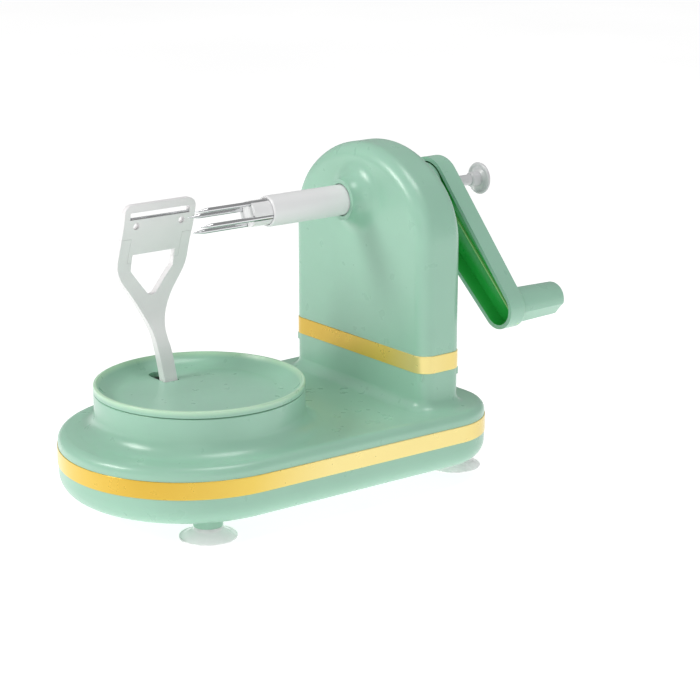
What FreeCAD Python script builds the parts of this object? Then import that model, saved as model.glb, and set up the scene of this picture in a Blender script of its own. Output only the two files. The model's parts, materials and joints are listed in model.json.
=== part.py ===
import FreeCAD, Part
import math
import os

os.makedirs("parts", exist_ok=True)
doc = FreeCAD.newDocument("fruit_peeler")
Vec = FreeCAD.Vector
X_AXIS, Y_AXIS, Z_AXIS = Vec(1, 0, 0), Vec(0, 1, 0), Vec(0, 0, 1)

# Frame: the origin is the middle of the footprint, on the table under the suction cups. +X runs
# to the tower and the crank, -Y is the side that the crank handle hangs on at rest.
# Sketches count X from the turntable axis, and every sub-part is moved back by middle_x.
DIMENSIONS = [
    ("middle_x", 51.725, "turntable axis to the middle of the footprint"),
    ("wall", 2.3, "moulded wall thickness"),
    ("run_gap", 0.06, "radial clearance of a running fit"),
    ("split_gap", 0.4, "gap between covers of two bodies"),
    ("floor_z", 9.0, "underside of the base shell"),
    ("band_low_z", 22.4, "lower edge of the base trim band"),
    ("band_high_z", 30.3, "upper edge of the base trim band"),
    ("deck_z", 36.2, "top of the deck"),
    ("band_proud", 0.35, "how far a trim band stands proud"),
    ("band_seat", 1.1, "how deep a trim band is let in"),
    ("nose_x", -5.0, "centre of the round front end"),
    ("nose_radius", 59.0, "radius of the round front end"),
    ("tail_x", 129.8, "rear end of the base"),
    ("tail_half", 62.3, "half width at the rear"),
    ("tail_corner", 28.1, "rear corner radius"),
    ("shell_round", 9.5, "rounding under the lower shell"),
    ("deck_round", 4.0, "rounding of the deck edge"),
    ("drum_radius", 47.0, "outside of the drum and the dish"),
    ("drum_top_z", 53.0, "top edge of the drum"),
    ("drum_foot", 7.4, "fillet between drum and deck"),
    ("rim_z", 56.4, "top of the dish rim"),
    ("dish_skirt_z", 53.4, "lower edge of the dish rim"),
    ("dish_floor_z", 50.6, "floor of the dish"),
    ("dish_under_z", 48.4, "underside of the dish"),
    ("dish_skirt_radius", 44.2, "dish body inside the drum"),
    ("dish_wall_radius", 10.2, "concave radius of the dish wall"),
    ("slide_low_z", 46.8, "ledge that carries the slide ring"),
    ("tower_front_x", 88.4, "front face of the tower"),
    ("tower_rear_x", 112.2, "rear face of the tower"),
    ("tower_half", 49.1, "half width of the tower"),
    ("tower_corner", 6.8, "rounding of the tower's edges"),
    ("tower_foot", 5.0, "fillet between tower and deck"),
    ("tower_band_low_z", 53.4, "lower edge of the tower trim band"),
    ("tower_band_high_z", 61.6, "upper edge of the tower trim band"),
    ("arch_z", 111.5, "height where the arch springs"),
    ("arch_rise", 41.3, "rise of the arch"),
    ("arch_side_radius", 36.0, "side arcs of the arch"),
    ("axis_z", 127.7, "height of the fork axis"),
    ("collar_x", 79.2, "front lip of the collar"),
    ("collar_radius", 9.4, "radius of the collar lip"),
    ("collar_flare", 9.2, "flare of the collar onto the tower"),
    ("bush_x", 81.2, "front end of the front bushing"),
    ("bush_radius", 8.3, "outside of the front bushing"),
    ("bush_length", 9.0, "length of the front bushing"),
    ("boss_end_x", 131.3, "end of the rear bearing boss"),
    ("boss_radius", 11.6, "radius of the rear bearing boss"),
    ("rear_bush_radius", 6.8, "outside of the rear bushing"),
    ("sleeve_front_x", 37.2, "front end of the fork sleeve"),
    ("sleeve_rear_x", 91.2, "rear end of the fork sleeve"),
    ("sleeve_radius", 7.06, "outside of the fork sleeve"),
    ("sleeve_bore", 6.2, "bore of the fork sleeve"),
    ("sleeve_web_x", 77.0, "where the sleeve closes onto the drive shaft"),
    ("shaft_radius", 4.6, "outside of the hollow drive shaft"),
    ("shaft_bore", 2.85, "bore of the hollow drive shaft"),
    ("shaft_rear_x", 138.0, "rear end of the drive shaft"),
    ("prong_circle", 5.1, "radius that the prongs stand on"),
    ("prong_radius", 1.05, "radius of a prong"),
    ("prong_tip_x", -1.0, "tips of the prongs"),
    ("prong_rear_x", 66.0, "rear end of the prongs"),
    ("prong_cone", 6.0, "length of a prong's point"),
    ("prong_turn", 15.0, "rest angle of the prongs about the fork axis"),
    ("holder_x", 60.0, "front of the prong holder"),
    ("holder_length", 6.0, "length of the prong holder"),
    ("plug_front_x", 27.5, "front of the ejector plug"),
    ("plug_length", 15.0, "length of the ejector plug"),
    ("plug_radius", 5.9, "radius of the ejector plug"),
    ("rod_radius", 2.6, "radius of the push rod"),
    ("knob_x", 163.3, "front face of the push knob disc"),
    ("knob_radius", 7.75, "radius of the push knob disc"),
    ("crank_rim_x", 130.9, "open rim of the crank arm"),
    ("crank_back_x", 140.4, "back of the crank arm"),
    ("crank_reach", 71.1, "fork axis to handle axis"),
    ("crank_hub_radius", 14.1, "crank arm round the fork axis"),
    ("crank_end_radius", 9.6, "crank arm round the handle axis"),
    ("crank_wall", 1.9, "wall of the crank channel"),
    ("crank_rest", 46.0, "angle of the crank from straight down"),
    ("crank_core", 8.2, "hub core inside the crank channel"),
    ("grip_radius", 8.2, "grip at its crank end"),
    ("grip_end_radius", 7.6, "grip at its outer end"),
    ("grip_length", 27.0, "length of the grip"),
    ("spigot_radius", 3.0, "spigot of the crank arm that the grip turns on"),
    ("spigot_short", 2.2, "how far inside the grip the spigot ends"),
    ("cup_radius", 12.6, "radius of a suction cup"),
    ("cup_front_x", -23.0, "front suction cups along X"),
    ("cup_front_y", 39.0, "front suction cups off the centre line"),
    ("cup_rear_x", 120.6, "rear suction cups along X"),
    ("cup_rear_y", 34.0, "rear suction cups off the centre line"),
    ("cup_boss_radius", 6.5, "boss above a suction cup"),
    ("cup_boss_z", 5.2, "lower end of a suction cup's boss"),
    ("plate_z", 14.0, "underside of the gear plate"),
    ("plate_thick", 2.0, "thickness of the gear plate"),
    ("gear_low_z", 18.0, "underside of the lower gear level"),
    ("gear_high_z", 23.5, "underside of the upper gear level"),
    ("gear_width", 4.0, "face width of the spur gears"),
    ("gear_module", 1.0, "module of every gear"),
    ("shaft_x", 100.0, "vertical shaft along X"),
    ("compound_x", 70.0, "compound gear along X"),
    ("idler_x", 50.0, "idler gear along X"),
    ("upright_radius", 3.0, "radius of the vertical shaft"),
    ("stud_radius", 2.0, "radius of the gear studs"),
    ("spindle_radius", 4.0, "radius of the turntable spindle"),
    ("hub_radius", 8.0, "hub under the dish"),
    ("hub_flange", 12.6, "flange of the hub that carries the gear"),
    ("hub_spigot", 5.5, "spigot of the hub inside the gear"),
    ("spindle_top_z", 40.8, "top of the turntable spindle"),
    ("pivot_y", 20.5, "peeler arm pivot off the turntable axis"),
    ("pivot_z", 38.0, "height of the peeler arm pivot"),
    ("pivot_radius", 1.5, "radius of the peeler arm pivot pin"),
    ("stem_half", 3.4, "half width of the peeler arm's stem"),
    ("stem_thick", 4.8, "thickness of the stem"),
    ("head_thick", 3.0, "thickness of the blade head"),
    ("head_half", 18.6, "half width of the blade head"),
    ("head_top_z", 132.6, "top of the blade head"),
    ("head_seam_z", 116.3, "seam between arm and blade head"),
    ("head_tab_z", 104.4, "lower end of the blade head's tabs"),
    ("tongue_half", 13.5, "half width of the blade head's tongue"),
    ("slot_half", 15.6, "half length of the blade slot"),
    ("slot_low_z", 125.6, "lower edge of the blade slot"),
    ("slot_high_z", 128.9, "upper edge of the blade slot"),
    ("blade_y", 29.6, "blade axis off the turntable axis"),
    ("blade_z", 126.3, "blade axis height"),
    ("blade_tilt", -8.0, "tilt of the blade from level"),
]

sheet = doc.addObject("Spreadsheet::Sheet", "dims")
for row, (alias, value, note) in enumerate(DIMENSIONS, start=1):
    sheet.set(f"A{row}", alias)
    sheet.set(f"B{row}", str(value))
    sheet.setAlias(f"B{row}", alias)
    sheet.set(f"C{row}", note)
doc.recompute()


def dim(alias):
    """The value of one driving dimension."""
    return float(sheet.get(alias))


# ---------------------------------------------------------------- helpers
def origin_plane(body, role):
    return next(plane for plane in body.Origin.OriginFeatures if plane.Role == role)


def new_body(label):
    body = doc.addObject("PartDesign::Body", label)
    body.Label = label
    body.setExpression("Placement.Base.x", "-dims.middle_x")
    return body


def new_sketch(body, name, role, geometry, height="0"):
    """A sketch on one of the body's planes, lifted along the plane's normal by an expression."""
    sketch = body.newObject("Sketcher::SketchObject", f"{body.Name}_{name}")
    sketch.AttachmentSupport = [(origin_plane(body, role), "")]
    sketch.MapMode = "FlatFace"
    sketch.setExpression("AttachmentOffset.Base.z", height)
    sketch.addGeometry(geometry, False)
    return sketch


def extrude(body, kind, name, role, geometry, height, length, reverse=False):
    """Pad or Pocket a sketch. Its plane's height and its length are expressions."""
    sketch = new_sketch(body, f"{name}_sketch", role, geometry, height)
    feature = body.newObject(f"PartDesign::{kind}", f"{body.Name}_{name}")
    feature.Profile = sketch
    feature.setExpression("Length", length)
    feature.Reversed = reverse
    return feature


def revolve(body, kind, name, geometry, axis_height=None):
    """Revolution or Groove of an XZ sketch, round Z or round a line parallel to X."""
    sketch = body.newObject("Sketcher::SketchObject", f"{body.Name}_{name}_sketch")
    sketch.AttachmentSupport = [(origin_plane(body, "XZ_Plane"), "")]
    sketch.MapMode = "FlatFace"
    if axis_height:
        sketch.setExpression("AttachmentOffset.Base.y", axis_height)
    sketch.addGeometry(geometry, False)
    feature = body.newObject(f"PartDesign::{kind}", f"{body.Name}_{name}")
    feature.Profile = sketch
    feature.ReferenceAxis = (sketch, ["H_Axis" if axis_height else "V_Axis"])
    feature.Angle = 360.0
    return feature


def round_edges(body, name, radius, wanted, kind="Fillet"):
    """Fillet or chamfer those edges of the body's tip that the test accepts."""
    doc.recompute()
    tip = body.Tip
    names = [f"Edge{n}" for n, edge in enumerate(tip.Shape.Edges, start=1) if wanted(edge)]
    feature = body.newObject(f"PartDesign::{kind}", f"{body.Name}_{name}")
    feature.Base = (tip, names)
    feature.setExpression("Radius" if kind == "Fillet" else "Size", radius)
    doc.recompute()
    return feature


def polyline(points):
    """Line segments round a closed outline of (x, y) points."""
    corners = [Vec(x, y, 0) for x, y in points]
    return [Part.LineSegment(a, b) for a, b in zip(corners, corners[1:] + corners[:1])]


def circle(x, y, radius):
    return Part.Circle(Vec(x, y, 0), Z_AXIS, radius)


def arc(x, y, radius, start, end):
    """Arc round (x, y), from start to end in degrees."""
    whole = Part.Circle(Vec(x, y, 0), Z_AXIS, radius)
    return Part.ArcOfCircle(whole, math.radians(start), math.radians(end))


def joined(pieces):
    """Arcs in order round an outline, with straight lines put between them."""
    edges = []
    for piece, following in zip(pieces, pieces[1:] + pieces[:1]):
        edges.append(piece)
        if piece.EndPoint.distanceToPoint(following.StartPoint) > 1e-6:
            edges.append(Part.LineSegment(piece.EndPoint, following.StartPoint))
    return edges


def lift(shape, expression_x="0", expression_y="0", expression_z="0"):
    """Bind the place of a primitive."""
    shape.setExpression("Placement.Base.x", f"{expression_x} - dims.middle_x")
    shape.setExpression("Placement.Base.y", expression_y)
    shape.setExpression("Placement.Base.z", expression_z)
    return shape


def cylinder(name, radius, height, place, direction=Z_AXIS):
    rod = doc.addObject("Part::Cylinder", name)
    rod.Label = name
    rod.setExpression("Radius", radius)
    rod.setExpression("Height", height)
    rod.Placement = FreeCAD.Placement(Vec(), FreeCAD.Rotation(Z_AXIS, direction))
    return lift(rod, *place)


def cone(name, radius_low, radius_high, height, place, direction=Z_AXIS):
    taper = doc.addObject("Part::Cone", name)
    taper.setExpression("Radius1", radius_low)
    taper.setExpression("Radius2", radius_high)
    taper.setExpression("Height", height)
    taper.Placement = FreeCAD.Placement(Vec(), FreeCAD.Rotation(Z_AXIS, direction))
    return lift(taper, *place)


def cut(name, base, tool):
    result = doc.addObject("Part::Cut", name)
    result.Label = name
    result.Base = base
    result.Tool = tool
    return result


def fuse(name, shapes):
    result = doc.addObject("Part::MultiFuse", name)
    result.Label = name
    result.Shapes = shapes
    return result


def group(name, shapes):
    result = doc.addObject("Part::Compound", name)
    result.Label = name
    result.Links = shapes
    return result


def ring(name, radius, bore, height, place, direction=Z_AXIS):
    """A round sleeve: one cylinder less another."""
    outer = cylinder(f"{name}_outside", radius, height, place, direction)
    inner = cylinder(f"{name}_bore", bore, height, place, direction)
    return cut(name, outer, inner)


def shaped(name, shape, place=FreeCAD.Placement()):
    """A solid whose outline comes from a formula, moved from the turntable axis to its place."""
    feature = doc.addObject("Part::Feature", name)
    feature.Label = name
    feature.Shape = shape
    middle = FreeCAD.Placement(X_AXIS * -dim("middle_x"), FreeCAD.Rotation())
    feature.Placement = middle.multiply(place)
    return feature


def is_flat(edge, z):
    """True for an edge that lies level at the given height."""
    box = edge.BoundBox
    return abs(box.ZMin - z) < 1e-4 and abs(box.ZMax - z) < 1e-4


# ---------------------------------------------------------------- outlines
def base_outline(inset):
    """Plan of the base: a round nose, straight flaring sides and a rounded square tail."""
    nose_radius = dim("nose_radius") - inset
    corner = dim("tail_corner") - inset
    corner_x = dim("tail_x") - dim("tail_corner")
    corner_y = dim("tail_half") - dim("tail_corner")
    span_x = corner_x - dim("nose_x")
    distance = math.hypot(span_x, corner_y)
    bearing = math.degrees(math.atan2(corner_y, span_x))
    lean = bearing + math.degrees(math.acos((nose_radius - corner) / distance))
    return joined([
        arc(dim("nose_x"), 0, nose_radius, lean, 360 - lean),
        arc(corner_x, -corner_y, corner, -lean, 0),
        arc(corner_x, corner_y, corner, 0, lean),
    ])


def tower_outline(inset):
    """Plan of the tower: a rectangle with rounded corners."""
    corner = dim("tower_corner") - inset
    near_x = dim("tower_front_x") + dim("tower_corner")
    far_x = dim("tower_rear_x") - dim("tower_corner")
    side = dim("tower_half") - dim("tower_corner")
    return joined([
        arc(near_x, -side, corner, 180, 270),
        arc(far_x, -side, corner, 270, 360),
        arc(far_x, side, corner, 0, 90),
        arc(near_x, side, corner, 90, 180),
    ])


def arch_outline(inset, foot_z):
    """Front view of the tower: upright sides under a three-centred arch."""
    half, rise, side = dim("tower_half"), dim("arch_rise"), dim("arch_side_radius")
    crown = (half * half - 2 * half * side + rise * rise) / (2 * (rise - side))
    side_y = half - side
    crown_z = dim("arch_z") + rise - crown
    turn = math.degrees(math.atan2(dim("arch_z") - crown_z, side_y))
    left, right = -(half - inset), half - inset
    return joined([
        arc(side_y, dim("arch_z"), side - inset, 0, turn),
        arc(0, crown_z, crown - inset, turn, 180 - turn),
        arc(-side_y, dim("arch_z"), side - inset, 180 - turn, 180),
        Part.LineSegment(Vec(left, foot_z, 0), Vec(right, foot_z, 0)),
    ])


def crank_outline(inset):
    """The crank arm seen along the fork axis, hanging straight down from it."""
    hub, end = dim("crank_hub_radius") - inset, dim("crank_end_radius") - inset
    reach = dim("crank_reach")
    lean = math.degrees(math.asin((hub - end) / reach))
    return joined([
        arc(0, 0, hub, -lean, 180 + lean),
        arc(0, -reach, end, 180 + lean, 360 - lean),
    ])


CUP_PLACES = {
    "front_left": (dim("cup_front_x"), -dim("cup_front_y")),
    "front_right": (dim("cup_front_x"), dim("cup_front_y")),
    "rear_left": (dim("cup_rear_x"), -dim("cup_rear_y")),
    "rear_right": (dim("cup_rear_x"), dim("cup_rear_y")),
}
SCREW_POSTS = [(-40, -34), (-40, 34), (52, -50), (52, 50), (113, -46), (113, 46)]
PLATE_POSTS = [(-12, -11), (-12, 11), (35, -11), (35, 11), (108, -11), (108, 11)]
POST_RADIUS = 4.2
PLATE_POST_RADIUS = 3.4
CUP_STEM_RADIUS = 3.0
CUP_SOCKET_DEPTH = 4.6
SCREW_RADIUS = 1.5
SCREW_HEAD = 2.9
POST_TOP_Z = 24.0
TRIM_ROUND = 0.25
TOWER_SCREWS = [(100.3, -43.1), (100.3, 43.1)]
COVER_SCREWS = [(-33, 72.5), (33, 72.5), (-30, 122), (30, 122)]


# ---------------------------------------------------------------- base shells
def make_lower_shell():
    body = new_body("lower_shell")
    extrude(body, "Pad", "block", "XY_Plane", base_outline(0), "dims.floor_z",
            "dims.band_low_z - dims.floor_z")
    round_edges(body, "belly", "dims.shell_round", lambda edge: is_flat(edge, dim("floor_z")))
    extrude(body, "Pocket", "inside", "XY_Plane", base_outline(dim("wall")), "dims.band_low_z",
            "dims.band_low_z - dims.floor_z - dims.wall - 1.8")
    extrude(body, "Pocket", "well", "XY_Plane", base_outline(dim("shell_round")), "dims.band_low_z",
            "dims.band_low_z - dims.floor_z - dims.wall")
    extrude(body, "Pad", "posts", "XY_Plane", [circle(x, y, POST_RADIUS) for x, y in SCREW_POSTS],
            "dims.floor_z + 1", f"{POST_TOP_Z} - dims.floor_z - 1")
    extrude(body, "Pad", "plate_posts", "XY_Plane", [circle(x, y, PLATE_POST_RADIUS) for x, y in PLATE_POSTS],
            "dims.floor_z + 1", "dims.plate_z - dims.floor_z - 1")
    extrude(body, "Pad", "cup_bosses", "XY_Plane",
            [circle(x, y, dim("cup_boss_radius")) for x, y in CUP_PLACES.values()],
            "dims.cup_boss_z", "dims.floor_z + 1 - dims.cup_boss_z")
    extrude(body, "Pocket", "cup_sockets", "XY_Plane",
            [circle(x, y, CUP_STEM_RADIUS) for x, y in CUP_PLACES.values()],
            "dims.cup_boss_z", f"{CUP_SOCKET_DEPTH}", reverse=True)
    extrude(body, "Pocket", "screw_holes", "XY_Plane",
            [circle(x, y, SCREW_RADIUS) for x, y in SCREW_POSTS], f"{POST_TOP_Z}", f"{POST_TOP_Z}")
    extrude(body, "Pocket", "screw_heads", "XY_Plane",
            [circle(x, y, SCREW_HEAD + 0.4) for x, y in SCREW_POSTS],
            "dims.floor_z", "4.0", reverse=True)
    extrude(body, "Pocket", "plate_pilots", "XY_Plane",
            [circle(x, y, SCREW_RADIUS) for x, y in PLATE_POSTS], "dims.plate_z", "2.2")
    return body


def make_upper_shell():
    body = new_body("upper_shell")
    deck_z, drum_top, foot_top = dim("deck_z"), dim("drum_top_z"), dim("tower_band_low_z")
    extrude(body, "Pad", "deck", "XY_Plane", base_outline(0), "dims.band_low_z",
            "dims.deck_z - dims.band_low_z")
    extrude(body, "Pad", "drum", "XY_Plane", [circle(0, 0, dim("drum_radius"))], "dims.band_low_z",
            "dims.drum_top_z - dims.band_low_z")
    extrude(body, "Pad", "stump", "XY_Plane", tower_outline(0), "dims.band_low_z",
            "dims.tower_band_low_z - dims.band_low_z")

    def is_drum_foot(edge):
        return is_flat(edge, deck_z) and abs(edge.Vertexes[0].Point.x) < 60 and (
            hasattr(edge.Curve, "Radius") and abs(edge.Curve.Radius - dim("drum_radius")) < 1e-4)

    def is_tower_foot(edge):
        box = edge.BoundBox
        return is_flat(edge, deck_z) and box.XMin > dim("tower_front_x") - 1e-3 and (
            box.XMax < dim("tower_rear_x") + 1e-3 and box.YMax < dim("tower_half") + 1e-3
            and box.YMin > -dim("tower_half") - 1e-3)

    round_edges(body, "drum_foot", "dims.drum_foot", is_drum_foot)
    round_edges(body, "tower_foot", "dims.tower_foot", is_tower_foot)

    def is_deck_edge(edge):
        middle = edge.valueAt((edge.FirstParameter + edge.LastParameter) / 2)
        outside = abs(middle.y) > 56 or middle.x > 120 or middle.x < -55
        return is_flat(edge, deck_z) and outside

    round_edges(body, "deck_edge", "dims.deck_round", is_deck_edge)
    round_edges(body, "drum_lip", "0.6", lambda edge: is_flat(edge, drum_top))
    extrude(body, "Pocket", "inside", "XY_Plane", base_outline(dim("wall") + dim("band_seat")),
            "dims.band_low_z", "dims.deck_z - dims.band_low_z - dims.wall", reverse=True)
    extrude(body, "Pocket", "drum_inside", "XY_Plane", [circle(0, 0, dim("drum_radius") - 2.2)],
            "dims.drum_top_z", "dims.drum_top_z - dims.slide_low_z")
    extrude(body, "Pocket", "drum_throat", "XY_Plane", [circle(0, 0, dim("drum_radius") - 6.6)],
            "dims.drum_top_z", "dims.drum_top_z - dims.band_low_z")
    extrude(body, "Pocket", "stump_inside", "XY_Plane", tower_outline(dim("wall")),
            "dims.tower_band_low_z", f"{foot_top - deck_z} + dims.wall + 0.5")
    extrude(body, "Pad", "posts", "XY_Plane", [circle(x, y, POST_RADIUS) for x, y in SCREW_POSTS],
            f"{POST_TOP_Z}", f"dims.deck_z - 1 - {POST_TOP_Z}")
    extrude(body, "Pocket", "pilots", "XY_Plane", [circle(x, y, SCREW_RADIUS) for x, y in SCREW_POSTS],
            f"{POST_TOP_Z}", "8.5", reverse=True)
    front, rear = dim("tower_front_x") + 1, dim("tower_rear_x") - 1
    for side, near, far in (("left", -46.9, -38.0), ("right", 38.0, 46.9)):
        shelf = polyline([(front, near), (rear, near), (rear, far), (front, far)])
        extrude(body, "Pad", f"{side}_shelf", "XY_Plane", shelf, "dims.tower_band_low_z - 3.5", "3.5")
    extrude(body, "Pocket", "shelf_holes", "XY_Plane",
            [circle(x, y, SCREW_RADIUS) for x, y in TOWER_SCREWS], "dims.tower_band_low_z", "3.5")
    seat = base_outline(-1.0) + base_outline(dim("band_seat"))
    extrude(body, "Pocket", "band_seat", "XY_Plane", seat, "dims.band_low_z",
            "dims.band_high_z - dims.band_low_z", reverse=True)
    return body


def make_trim_band(label, outline, seat, low, high):
    """A hoop let into a shell, standing a little proud of it, with softened outer edges."""
    body = new_body(label)
    proud = outline(-dim("band_proud"))
    extrude(body, "Pad", "hoop", "XY_Plane", proud + outline(seat), f"dims.{low}",
            f"dims.{high} - dims.{low}")
    outside = Part.Wire([piece.toShape() for piece in proud])

    def is_outer_rim(edge):
        middle = edge.valueAt((edge.FirstParameter + edge.LastParameter) / 2)
        level = is_flat(edge, dim(low)) or is_flat(edge, dim(high))
        return level and outside.distToShape(Part.Vertex(middle.x, middle.y, 0))[0] < 0.1

    round_edges(body, "rims", f"{TRIM_ROUND}", is_outer_rim)
    return body


# ---------------------------------------------------------------- tower
def make_tower_housing():
    body = new_body("tower_housing")
    foot_z = dim("tower_band_high_z")
    extrude(body, "Pad", "block", "YZ_Plane", arch_outline(0, foot_z), "dims.tower_front_x",
            "dims.tower_rear_x - dims.tower_front_x")

    def is_face_rim(edge):
        box = edge.BoundBox
        on_front = box.XMax < dim("tower_front_x") + 1e-3
        on_rear = box.XMin > dim("tower_rear_x") - 1e-3
        return (on_front or on_rear) and box.ZMax > foot_z + 1

    round_edges(body, "edges", "dims.tower_corner", is_face_rim)
    lip_x, face_x = dim("collar_x"), dim("tower_front_x")
    lip_radius, flare = dim("collar_radius"), dim("collar_flare")
    flare_arc = arc(face_x - flare, lip_radius + flare, flare, 270, 360)
    profile = joined([
        Part.LineSegment(Vec(lip_x, 5, 0), Vec(lip_x, lip_radius, 0)),
        flare_arc,
        Part.LineSegment(Vec(face_x + 1, lip_radius + flare, 0), Vec(face_x + 1, 5, 0)),
    ])
    revolve(body, "Revolution", "collar", profile, "dims.axis_z")
    inner = dim("wall")
    extrude(body, "Pocket", "inside", "YZ_Plane", arch_outline(inner, foot_z - 1),
            "dims.tower_rear_x - dims.wall",
            "dims.tower_rear_x - dims.tower_front_x - 2 * dims.wall")
    extrude(body, "Pocket", "rear_opening", "YZ_Plane", arch_outline(8.0, foot_z + 6),
            "dims.tower_rear_x", "dims.wall + 1")
    extrude(body, "Pocket", "collar_bore", "YZ_Plane", [circle(0, dim("axis_z"), dim("bush_radius"))],
            "dims.bush_x", "dims.bush_length + 1", reverse=True)
    extrude(body, "Pocket", "collar_mouth", "YZ_Plane", [circle(0, dim("axis_z"), 7.55)],
            "dims.collar_x", "3", reverse=True)
    extrude(body, "Pad", "foot_posts", "XY_Plane", [circle(x, y, 3.4) for x, y in TOWER_SCREWS],
            "dims.tower_band_low_z", "26")
    extrude(body, "Pad", "foot_webs", "XY_Plane", [circle(x, y, 4.4) for x, y in TOWER_SCREWS],
            "dims.tower_band_high_z", "20")
    extrude(body, "Pocket", "foot_pilots", "XY_Plane",
            [circle(x, y, SCREW_RADIUS) for x, y in TOWER_SCREWS],
            "dims.tower_band_low_z", "14", reverse=True)
    extrude(body, "Pad", "cover_posts", "YZ_Plane", [circle(y, z, 3.6) for y, z in COVER_SCREWS],
            "dims.tower_front_x + 1", "dims.tower_rear_x - dims.wall - dims.tower_front_x - 1")
    extrude(body, "Pocket", "cover_pilots", "YZ_Plane",
            [circle(y, z, SCREW_RADIUS) for y, z in COVER_SCREWS], "dims.tower_rear_x - dims.wall", "6")
    front, rear = dim("tower_front_x") + 1, dim("shaft_x")
    for side, near, far in (("left", -14.0, -11.5), ("right", 11.5, 14.0)):
        ledge = polyline([(front, near), (rear, near), (rear, far), (front, far)])
        extrude(body, "Pad", f"{side}_ledge", "XY_Plane", ledge, "dims.axis_z - 22", "3", reverse=True)
    return body


def make_rear_cover():
    body = new_body("tower_rear_cover")
    foot_z = dim("tower_band_high_z")
    extrude(body, "Pad", "plate", "YZ_Plane", arch_outline(8.0, foot_z + 6), "dims.tower_rear_x",
            "dims.wall", reverse=True)
    extrude(body, "Pad", "boss", "YZ_Plane", [circle(0, dim("axis_z"), dim("boss_radius"))],
            "dims.tower_rear_x - 1", "dims.boss_end_x - dims.tower_rear_x + 1")

    def is_boss_foot(edge):
        return hasattr(edge.Curve, "Radius") and abs(edge.BoundBox.XMax - dim("tower_rear_x")) < 1e-3 and (
            abs(edge.Curve.Radius - dim("boss_radius")) < 1e-4)

    round_edges(body, "boss_foot", "2.5", is_boss_foot)
    round_edges(body, "boss_lip", "0.8", lambda edge: edge.BoundBox.XMin > dim("boss_end_x") - 1e-3)
    extrude(body, "Pocket", "bearing_bore", "YZ_Plane",
            [circle(0, dim("axis_z"), dim("rear_bush_radius"))],
            "dims.tower_rear_x - dims.wall - 1", "dims.boss_end_x - dims.tower_rear_x + dims.wall + 2",
            reverse=True)
    extrude(body, "Pocket", "screw_holes", "YZ_Plane",
            [circle(y, z, SCREW_RADIUS) for y, z in COVER_SCREWS], "dims.tower_rear_x", "dims.wall + 1")
    extrude(body, "Pocket", "screw_seats", "YZ_Plane",
            [circle(y, z, SCREW_HEAD) for y, z in COVER_SCREWS], "dims.tower_rear_x", "1.2")
    return body


def make_screws(name, places, head_z, length, upward=True, direction=Z_AXIS, plane_x=None):
    """Cross-head screws as separate solids: a domed head and a shank, along Z or X."""
    screws = []
    for number, (first, second) in enumerate(places, start=1):
        start = Vec(first, second, head_z) if plane_x is None else Vec(plane_x, first, second)
        sense = direction if upward else direction * -1
        head = Part.makeCylinder(SCREW_HEAD - 0.1, 1.2, start, sense)
        top_edge = [edge for edge in head.Edges if edge.Vertexes[0].Point.distanceToPoint(start) < 3
                    and hasattr(edge.Curve, "Radius")]
        head = head.makeFillet(0.5, top_edge)
        shank = Part.makeCylinder(SCREW_RADIUS, length, start + sense * 0.6, sense)
        screw = head.fuse(shank)
        for turn in (0, 90):
            slot = Part.makeBox(0.6, 3.0, 0.7, Vec(-0.3, -1.5, 0))
            slot.Placement = FreeCAD.Placement(start, FreeCAD.Rotation(Z_AXIS, sense)).multiply(
                FreeCAD.Placement(Vec(), FreeCAD.Rotation(Z_AXIS, turn)))
            screw = screw.cut(slot)
        screws.append(shaped(f"{name}_{number}", screw.removeSplitter()))
    return group(name, screws)


# ---------------------------------------------------------------- gears
PRESSURE_ANGLE = math.radians(20)
BEVEL_BACK = 9.0
BEVEL_HUB = 4.3
STUD_BOSS = 3.6
SPINDLE_BUSH = 6.5
SHAFT_BUSH = 5.0
GEAR_SCREW_CIRCLE = 9.6
GEAR_SCREWS = [(GEAR_SCREW_CIRCLE * math.cos(math.radians(turn)),
                GEAR_SCREW_CIRCLE * math.sin(math.radians(turn))) for turn in (30, 150, 270)]


def involute(angle):
    return math.tan(angle) - angle


def gear_face(teeth, phase, play=0.22):
    """Plan of a spur gear with one tooth centred at the phase angle in degrees."""
    module = dim("gear_module")
    pitch = module * teeth / 2
    base = pitch * math.cos(PRESSURE_ANGLE)
    tip, root = pitch + 0.9 * module, pitch - 1.2 * module
    low = max(base, root)
    half_tooth = math.pi / (2 * teeth) - play / (2 * pitch)
    steps = 4
    radii = [low + (tip - low) * n / steps for n in range(steps + 1)]
    flank = []
    for radius in radii:
        slope = math.acos(min(1.0, base / radius))
        flank.append((radius, half_tooth + involute(PRESSURE_ANGLE) - involute(slope)))
    flank.insert(0, (root, flank[0][1] + 0.3 * half_tooth))
    corners = []
    for tooth in range(teeth):
        centre = math.radians(phase) + 2 * math.pi * tooth / teeth
        for radius, half in flank:
            corners.append(Vec(radius * math.cos(centre - half), radius * math.sin(centre - half), 0))
        for radius, half in reversed(flank):
            corners.append(Vec(radius * math.cos(centre + half), radius * math.sin(centre + half), 0))
    return Part.Face(Part.makePolygon(corners + corners[:1]))


def spur_gear(teeth, phase, low_z, width, centre_x, bore):
    """A spur gear as a solid with a round bore."""
    place = Vec(centre_x, 0, low_z)
    blank = gear_face(teeth, phase).extrude(Z_AXIS * width)
    blank.translate(place)
    return blank.cut(Part.makeCylinder(bore, width + 2, place - Z_AXIS, Z_AXIS))


def web_holes(gear, centre_x, low_z, width, ring_radius, hole_radius, count):
    """Round lightening holes in a gear's web."""
    for number in range(count):
        turn = 2 * math.pi * (number + 0.5) / count
        place = Vec(centre_x + ring_radius * math.cos(turn), ring_radius * math.sin(turn), low_z - 1)
        gear = gear.cut(Part.makeCylinder(hole_radius, width + 2, place, Z_AXIS))
    return gear


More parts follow.
